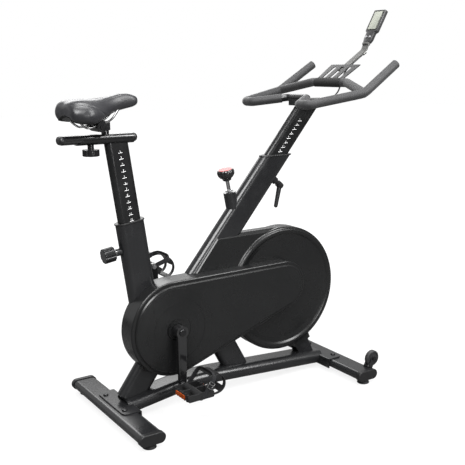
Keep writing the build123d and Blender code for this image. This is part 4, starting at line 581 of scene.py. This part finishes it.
def console():
    """Housing that narrows round the keys, with a sunk window in a raised bezel."""
    shape = bmesh.new()
    bmesh.ops.create_cube(shape, size=1)
    shape.transform(Matrix.Translation((65 * mm, 0, -8.5 * mm))
                    @ Matrix.Diagonal((126 * mm, 55 * mm, 16 * mm, 1)))
    for cut in (14, 40, 46):
        bmesh.ops.bisect_plane(shape, geom=shape.verts[:] + shape.edges[:] + shape.faces[:],
                               plane_co=(cut * mm, 0, 0), plane_no=(1, 0, 0))
    for vert in shape.verts:
        if vert.co.x < 41 * mm:
            vert.co.y *= 0.72 if vert.co.x > 10 * mm else 0.55
            vert.co.z = -8.5 * mm + (vert.co.z + 8.5 * mm) * 0.86
    shape.faces.ensure_lookup_table()
    front = max(shape.faces, key=lambda face: face.normal.z * face.calc_area())
    bmesh.ops.inset_region(shape, faces=[front], thickness=4.5 * mm)
    bmesh.ops.translate(shape, verts=front.verts[:], vec=(0, 0, -1.4 * mm))
    outer = [edge for edge in shape.edges if edge.calc_face_angle(0) > 0.5
             and not any(vert in front.verts[:] for vert in edge.verts)]
    bmesh.ops.bevel(shape, geom=outer, offset=2.6 * mm, offset_type="OFFSET", segments=3, profile=0.5,
                    affect="EDGES", material=-1)
    shape.transform(console_face)
    housing = finish(shape, "console_housing", "console", shell_plastic)
    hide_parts("console_body")
    glass = bmesh.new()
    block(glass, moved(console_face, window_middle, 0, -1.1), (72, 43, 1.2), 0.4)
    window = finish(glass, "console_window", "console", screen)
    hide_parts("console_lens")
    rim = bmesh.new()
    for up, across, length, width in ((0, window_reach, 73, 1.6), (0, -window_reach, 73, 1.6),
                                      (-window_rise, 0, 1.6, 42), (window_rise, 0, 1.6, 42)):
        block(rim, moved(console_face, window_middle + up, across, -0.4), (length, width, 1.0), 0.3)
    # The rim is painted shade round the sunk window.
    finish(rim, "console_window_rim", "console", shadow_black)


console()


# ---------------------------------------------------------------- tray
tray_rear = (418, 1002)
tray_front = (497, 1054)
tray_half = 63
tray_lean = atan2(tray_front[1] - tray_rear[1], tray_front[0] - tray_rear[0])
tray_face = frame_at(spot(tray_rear[0], 0, tray_rear[1]), (cos(tray_lean), 0, sin(tray_lean)),
                     (-sin(tray_lean), 0, cos(tray_lean)))


def tray_lip():
    """Low edge of the tray: it rises over the bridge bar and turns down in front of it."""
    shape = bmesh.new()
    outline = [(16, 3.4), (10, 6.4), (4, 8.2), (-3, 8.4), (-9, 6.2), (-13.5, 1), (-15.4, -6), (-15, -13)]
    corners = [shape.verts.new((along * mm, -tray_half * mm, out * mm)) for along, out in outline]
    edges = [shape.edges.new(pair) for pair in zip(corners, corners[1:])]
    swept = bmesh.ops.extrude_edge_only(shape, edges=edges)["geom"]
    bmesh.ops.translate(shape, verts=[item for item in swept if isinstance(item, bmesh.types.BMVert)],
                        vec=(0, 2 * tray_half * mm, 0))
    bmesh.ops.recalc_face_normals(shape, faces=shape.faces)
    bmesh.ops.solidify(shape, geom=shape.faces[:], thickness=2.2 * mm)
    shape.transform(tray_face)
    # The lip is drawn near black as painted shade.
    return finish(shape, "tray_lip", "bar_mast", shadow_black, crease=50)


tray_lip()


# ---------------------------------------------------------------- console cable
lead_diameter = 5
lead_side = -10


def console_cable():
    """Signal cable from the gland under the arm, down behind the tray and into the head block."""
    route = [(572, 1095), (521, 1062), (483, 1034), (466, 990), (458, 969), (442, 954), (416, 936.5),
             (393, 936.5)]
    places = [spot(x, lead_side, z) for x, z in route]
    curve = wire("console_lead", places, lead_diameter / 2, 6)
    curve.materials.append(jacket)
    lead = bpy.data.objects.new("console_lead", curve)
    bpy.context.scene.collection.objects.link(lead)
    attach(lead, "bar_mast")
    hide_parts("console_cable")


console_cable()


# ---------------------------------------------------------------- toe cages
def pedal_frame(name, dip):
    """Frame at a pedal's middle: local x forwards along it, y to the left, z up through it."""
    low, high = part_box(name)
    turn = radians(dip)
    return frame_at((Vector(low) + Vector(high)) / 2, (cos(turn), 0, -sin(turn)), (sin(turn), 0, cos(turn)))


def rounded(corners):
    """Points of a smooth line that passes near the given corners and keeps its two ends."""
    points = [Vector(corner) for corner in corners]
    for _ in range(2):
        cut = [points[0]]
        for here, there in zip(points, points[1:]):
            cut += [here.lerp(there, 0.25), here.lerp(there, 0.75)]
        points = cut + [points[-1]]
    return points


def ribbon(line, width_way, width, thick, openings=()):
    """Band along a line. An opening is given as shares: from and to along it, from and to across it."""
    band = bmesh.new()
    columns = 16
    shares = [column / columns - 0.5 for column in range(columns + 1)]

    def spread(verts, step):
        for vert, share in zip(verts, shares):
            vert.co = (line[step] + width_way * width(step / (len(line) - 1)) * share) * mm

    verts = [band.verts.new() for share in shares]
    spread(verts, 0)
    edges = [band.edges.new(pair) for pair in zip(verts, verts[1:])]
    cut_out = []
    for step in range(1, len(line)):
        swept = bmesh.ops.extrude_edge_only(band, edges=edges)["geom"]
        verts = [item for item in swept if isinstance(item, bmesh.types.BMVert)]
        verts.sort(key=lambda vert: vert.co.dot(width_way))
        edges = [band.edges.get(pair) for pair in zip(verts, verts[1:])]
        spread(verts, step)
        along = (step - 0.5) / (len(line) - 1)
        faces = [edge.link_faces[0] for edge in edges]
        cut_out += [face for column, face in enumerate(faces)
                    if any(a < along < b and c < (column + 0.5) / columns < d for a, b, c, d in openings)]
    bmesh.ops.delete(band, geom=cut_out, context="FACES")
    bmesh.ops.recalc_face_normals(band, faces=band.faces)
    bmesh.ops.solidify(band, geom=band.faces[:], thickness=thick * mm)
    return band


cage_line = rounded([(26, 0, -11.7), (50, 0, -12), (78, 0, -9), (94, 0, 6), (95, 0, 28), (82, 0, 46),
                     (62, 0, 54), (40, 0, 52)])
cage_openings = [(0.1, 0.3, 0.12, 0.44), (0.1, 0.3, 0.56, 0.88), (0.42, 0.66, 0.2, 0.8)]
strap_slant = radians(52)
strap_run = Vector((cos(strap_slant), 0, sin(strap_slant)))
strap_foot = Vector((4, 0, -6))
strap_line = rounded([strap_foot + strap_run * along + Vector((0, across, 0)) for along, across in
                      ((0, -49.8), (50, -49.8), (70, -47), (79, -32), (80, 0), (79, 32), (70, 47),
                       (50, 49.8), (0, 49.8))])
buckle_up = 44          # along the strap, from its foot
buckle_out = 51.6
buckle_bars = [((0, 9.5), (22, 1.6, 2)), ((0, -9.5), (22, 1.6, 2)), ((10, 0), (2, 1.6, 21)),
               ((-10, 0), (2, 1.6, 21)), ((2, 0), (2.4, 2.2, 18))]


def toe_cage(name, side, place):
    """Curved cage over the toes, with two openings under them and one in front."""
    cage = ribbon(cage_line, Vector((0, 1, 0)), lambda share: 74 - 16 * share, 2.8, cage_openings)
    cage.transform(place)
    piece = finish(cage, f"cage_{name}", side, pedal_plastic)
    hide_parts(f"toe_cage_{name}")


def toe_strap(name, side, place):
    """Woven strap round the pedal and over the cage."""
    strap = ribbon(strap_line, Vector((sin(strap_slant), 0, -cos(strap_slant))), lambda share: 15, 1.6)
    strap.transform(place)
    finish(strap, f"strap_{name}", side, strap_cloth)


def strap_buckle(name, side, place, outward):
    """Bright frame and tongue on the strap's outer side."""
    buckle = bmesh.new()
    middle = strap_foot + strap_run * buckle_up + Vector((0, outward * buckle_out, 0))
    along_strap = place @ Matrix.Translation(middle * mm) @ Matrix.Rotation(-strap_slant, 4, "Y")
    for (x, z), size in buckle_bars:
        block(buckle, moved(along_strap, x=x, z=z), size, 0.4)
    finish(buckle, f"buckle_{name}", side, chrome)


for name, side, dip, outward in (("right", "right_pedal", 0, -1), ("left", "left_pedal", 35, 1)):
    pedal = pedal_frame(f"pedal_{name}", dip)
    toe_cage(name, side, pedal)
    toe_strap(name, side, pedal)
    strap_buckle(name, side, pedal, outward)


# ---------------------------------------------------------------- saddle
# Stations along the saddle: place, half width, underside, top. The solid's stations come first, and the
# finished cover's, which is shorter behind and slimmer at the nose, come second.
solid_stations = [(-570, 44, 926, 950), (-556, 72, 914, 959), (-522, 86, 903, 965), (-470, 86, 899, 967),
                  (-425, 58, 907, 967), (-385, 33, 919, 972), (-335, 22, 931, 980), (-305, 18, 937, 977),
                  (-293, 10, 945, 968)]
cover_stations = [(-528, 58, 913, 953), (-518, 76, 906, 962), (-498, 83, 901, 967), (-464, 83, 899, 968),
                  (-425, 60, 908, 969), (-385, 35, 925, 975), (-335, 24, 939, 984), (-305, 19, 945, 981),
                  (-295, 11, 952, 973)]


def reshape_saddle(shape, tighten=0.0):
    """Move a mesh from the solid's stations to the cover's; tighten draws it in by some millimetres."""
    for vert in shape.verts:
        x = vert.co.x / mm - midway
        step = 0
        while step < len(solid_stations) - 2 and x > solid_stations[step + 1][0]:
            step += 1
        here, there = solid_stations[step], solid_stations[step + 1]
        share = (x - here[0]) / (there[0] - here[0])
        old = [a + (b - a) * share for a, b in zip(here, there)]
        new = [a + (b - a) * share for a, b in zip(cover_stations[step], cover_stations[step + 1])]
        wide = max(new[1] - tighten, 4) / max(old[1], 4)
        tall = (new[3] - new[2] - 2 * tighten) / (old[3] - old[2])
        vert.co = spot(new[0], vert.co.y / mm * wide, new[2] + tighten + (vert.co.z / mm - old[2]) * tall)


def saddle_skin():
    """Padded cover: foam swollen under stretched vinyl, then its panel seams and its centre channel."""
    shape = bmesh.new()
    shape.from_mesh(nodes["saddle_cover"].data)
    bmesh.ops.remove_doubles(shape, verts=shape.verts, dist=1e-5)
    reshape_saddle(shape, tighten=1.5)
    piece = finish(shape, "saddle_skin", "saddle", skin, crease=180)
    remesh = piece.modifiers.new("remesh", "REMESH")
    remesh.mode = "VOXEL"
    remesh.voxel_size = 4.5 * mm
    settle(piece)
    swell(piece, pressure=4.0, most=3.5)
    smooth = piece.modifiers.new("smooth", "CORRECTIVE_SMOOTH")
    smooth.use_only_smooth = True
    smooth.iterations = 14
    fine = piece.modifiers.new("fine", "SUBSURF")
    fine.levels = fine.render_levels = 1
    settle(piece)
    sew(piece)
    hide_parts("saddle_cover")
    return piece


def settle(piece):
    """Replace a piece's mesh by what its modifiers make of it."""
    graph = bpy.context.evaluated_depsgraph_get()
    made = bpy.data.meshes.new_from_object(piece.evaluated_get(graph), depsgraph=graph)
    piece.modifiers.clear()
    piece.data = made
    for face in made.polygons:
        face.use_smooth = True


def swell(piece, pressure, most):
    """Blow the cover up as cloth, letting no point move further than `most` millimetres."""
    rest = [vert.co.copy() for vert in piece.data.vertices]
    cloth = piece.modifiers.new("cloth", "CLOTH")
    cloth.settings.use_pressure = True
    cloth.settings.uniform_pressure_force = pressure
    cloth.settings.effector_weights.gravity = 0
    cloth.point_cache.frame_start = 1
    cloth.point_cache.frame_end = 20
    scene = bpy.context.scene
    for step in range(1, 21):
        scene.frame_set(step)
    settle(piece)
    scene.frame_set(1)
    for vert, home in zip(piece.data.vertices, rest):
        move = vert.co - home
        if move.length > most * mm:
            vert.co = home + move.normalized() * most * mm


def groove(distance, width):
    """How deep a seam is at some distance from its line: 1 at the line, 0 past its width."""
    share = min(abs(distance) / width, 1)
    return (1 - share * share) ** 2


# Places along the bike, and heights, of the seam that each wing's side panel has along its top.
wing_seam = [(-520, 955), (-495, 957), (-465, 950), (-440, 938), (-418, 922), (-405, 908)]
seam_depth = 1.1
seam_width = 4
channel_rear = -508
channel_front = -375
channel_fade = 40
channel_depth = 2.4
channel_width = 14


def sew(piece):
    """Press the seams in: one along each wing and a channel along the crown."""
    normals = [vert.normal.copy() for vert in piece.data.vertices]
    for vert, normal in zip(piece.data.vertices, normals):
        x = vert.co.x / mm - midway
        y = abs(vert.co.y / mm)
        depth = 0.0
        if normal.z > 0.3 and channel_rear < x < channel_front:
            fade = min((x - channel_rear) / channel_fade, (channel_front - x) / channel_fade, 1)
            depth += channel_depth * fade * groove(y, channel_width)
        seam = next((low + (high - low) * (x - rear) / (front - rear)
                     for (rear, low), (front, high) in zip(wing_seam, wing_seam[1:])
                     if rear <= x < front), None)
        if seam and y > 22:
            depth += seam_depth * groove(vert.co.z / mm - seam, seam_width)
        vert.co -= normal * depth * mm


def saddle_pan():
    """Stiff pan under the cover, following the cover's new outline."""
    shape = bmesh.new()
    shape.from_mesh(nodes["saddle_base"].data)
    bmesh.ops.remove_doubles(shape, verts=shape.verts, dist=1e-5)
    reshape_saddle(shape, tighten=8.0)
    # The pan is drawn near black as painted shade under the saddle.
    pan = finish(shape, "saddle_pan", "saddle", shadow_black)
    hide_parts("saddle_base")


def saddle_rails():
    """Two bright rods from the pan's rear, along through the clamp and up to the nose."""
    shape = bmesh.new()
    for side in (-1, 1):
        route = [(-492, 34, 909), (-480, 31, 895), (-464, 26, 888), (-430, 23, 896), (-400, 21, 904),
                 (-380, 19, 918), (-368, 17, 936)]
        add_curve(shape, wire("rail", [spot(x, side * y, z) for x, y, z in route], 3.2, 4))
    rails = finish(shape, "saddle_rods", "saddle", chrome)
    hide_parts("saddle_rails")


saddle_skin()
saddle_pan()
saddle_rails()


# ---------------------------------------------------------------- camera, lights, floor
view_place = (-1317.41, -2044.87, 1058.21)
view_turn = radians(33.348)
view_drop = radians(12.209)
view_roll = radians(-0.432)
view_focus = 774.77 / 465       # focal length, in widths of the picture
camera_data = bpy.data.cameras.new("camera")
camera_data.sensor_width = 36
camera_data.lens = view_focus * camera_data.sensor_width
camera = bpy.data.objects.new("camera", camera_data)
bpy.context.scene.collection.objects.link(camera)
camera.matrix_world = (Matrix.Translation(spot(*view_place))
                       @ Matrix.Rotation(-view_turn, 4, "Z")
                       @ Matrix.Rotation(pi / 2 - view_drop, 4, "X")
                       @ Matrix.Rotation(view_roll, 4, "Z"))
bpy.context.scene.camera = camera


def lamp(name, place, target, size, power):
    """Soft rectangular studio light."""
    data = bpy.data.lights.new(name, "AREA")
    data.shape = "RECTANGLE"
    data.size, data.size_y = size
    data.energy = power
    light = bpy.data.objects.new(name, data)
    bpy.context.scene.collection.objects.link(light)
    way = Vector(place) - Vector(target)
    light.matrix_world = Matrix.Translation(place) @ way.to_track_quat("Z", "Y").to_matrix().to_4x4()


lamp("overhead", (-0.1, -0.2, 3.9), (0, 0, 0.5), (1.9, 1.3), 120)
lamp("left_soft", (-1.6, -1.5, 2.4), (-0.1, 0, 0.5), (1.5, 1.2), 95)
lamp("right_soft", (1.33, -1.85, 2.35), (0, 0, 0.6), (0.9, 1.9), 85)
lamp("side_strip", (-0.1, -3.3, 1.0), (-0.3, 0, 0.8), (0.6, 1.0), 26)
lamp("back_soft", (0.6, 2.2, 1.9), (0, 0, 0.6), (2.0, 1.0), 26)


def studio_air():
    """White backdrop; the light that it gives the bike is dim, and comes mostly from above."""
    world = bpy.data.worlds.new("studio")
    world.use_nodes = True
    tree = world.node_tree

    def node(kind, settings, *values):
        made = tree.nodes.new(kind)
        for key, value in settings.items():
            setattr(made, key, value)
        for socket, value in zip(made.inputs, values):
            if isinstance(value, bpy.types.NodeSocket):
                tree.links.new(value, socket)
            else:
                socket.default_value = value
        return made

    way = node("ShaderNodeSeparateXYZ", {}, node("ShaderNodeTexCoord", {}).outputs["Generated"])
    rise = node("ShaderNodeMapRange", {"interpolation_type": "SMOOTHSTEP"}, way.outputs["Z"], -0.2, 1.0,
                0.04, 0.4)
    ray = node("ShaderNodeLightPath", {})
    seen = node("ShaderNodeMath", {"operation": "MAXIMUM"}, ray.outputs["Is Camera Ray"],
                ray.outputs["Is Transmission Ray"])
    behind = node("ShaderNodeMapRange", {"interpolation_type": "SMOOTHSTEP"}, way.outputs["Y"], 0.2, 0.75,
                  0.2, 0.65)
    backdrop = node("ShaderNodeMath", {"operation": "MULTIPLY"}, ray.outputs["Is Glossy Ray"],
                    behind.outputs[0])
    light = node("ShaderNodeMath", {"operation": "MAXIMUM"}, rise.outputs[0], backdrop.outputs[0])
    level = node("ShaderNodeMath", {"operation": "MAXIMUM"}, light.outputs[0], seen.outputs[0])
    tree.links.new(level.outputs[0], tree.nodes["Background"].inputs["Strength"])
    tree.nodes["Background"].inputs["Color"].default_value = (1, 1, 1, 1)
    bpy.context.scene.world = world


studio_air()


def studio_floor():
    """Pale floor that keeps the bike's soft shadow and meets the white background."""
    shape = bmesh.new()
    bmesh.ops.create_grid(shape, x_segments=1, y_segments=1, size=14)
    mesh = bpy.data.meshes.new("floor")
    shape.to_mesh(mesh)
    shape.free()
    look = Look("floor", (0.14, 0.14, 0.14), 0.8, specular_ior_level=0.1)
    grain = look.noise(40, detail=2.0)
    ray = look.node("ShaderNodeLightPath", output="Is Camera Ray")
    reach = look.node("ShaderNodeVectorMath", {"operation": "LENGTH"}, {0: look.place}, output=1)
    glow = look.node("ShaderNodeEmission", {}, {"Color": (1, 1, 1, 1),
                                                "Strength": ray * (reach.step(0.8, 2.2) * 0.2 + 0.84)})
    look.set(Roughness=grain * 0.05 + 0.75)
    both = look.node("ShaderNodeAddShader", {}, {0: Tone(look, look.shader.outputs[0]), 1: glow})
    look.join(both, look.tree.nodes["Material Output"].inputs["Surface"])
    mesh.materials.append(look.material)
    floor = bpy.data.objects.new("floor", mesh)
    bpy.context.scene.collection.objects.link(floor)


studio_floor()
bpy.context.scene.view_settings.view_transform = "Standard"
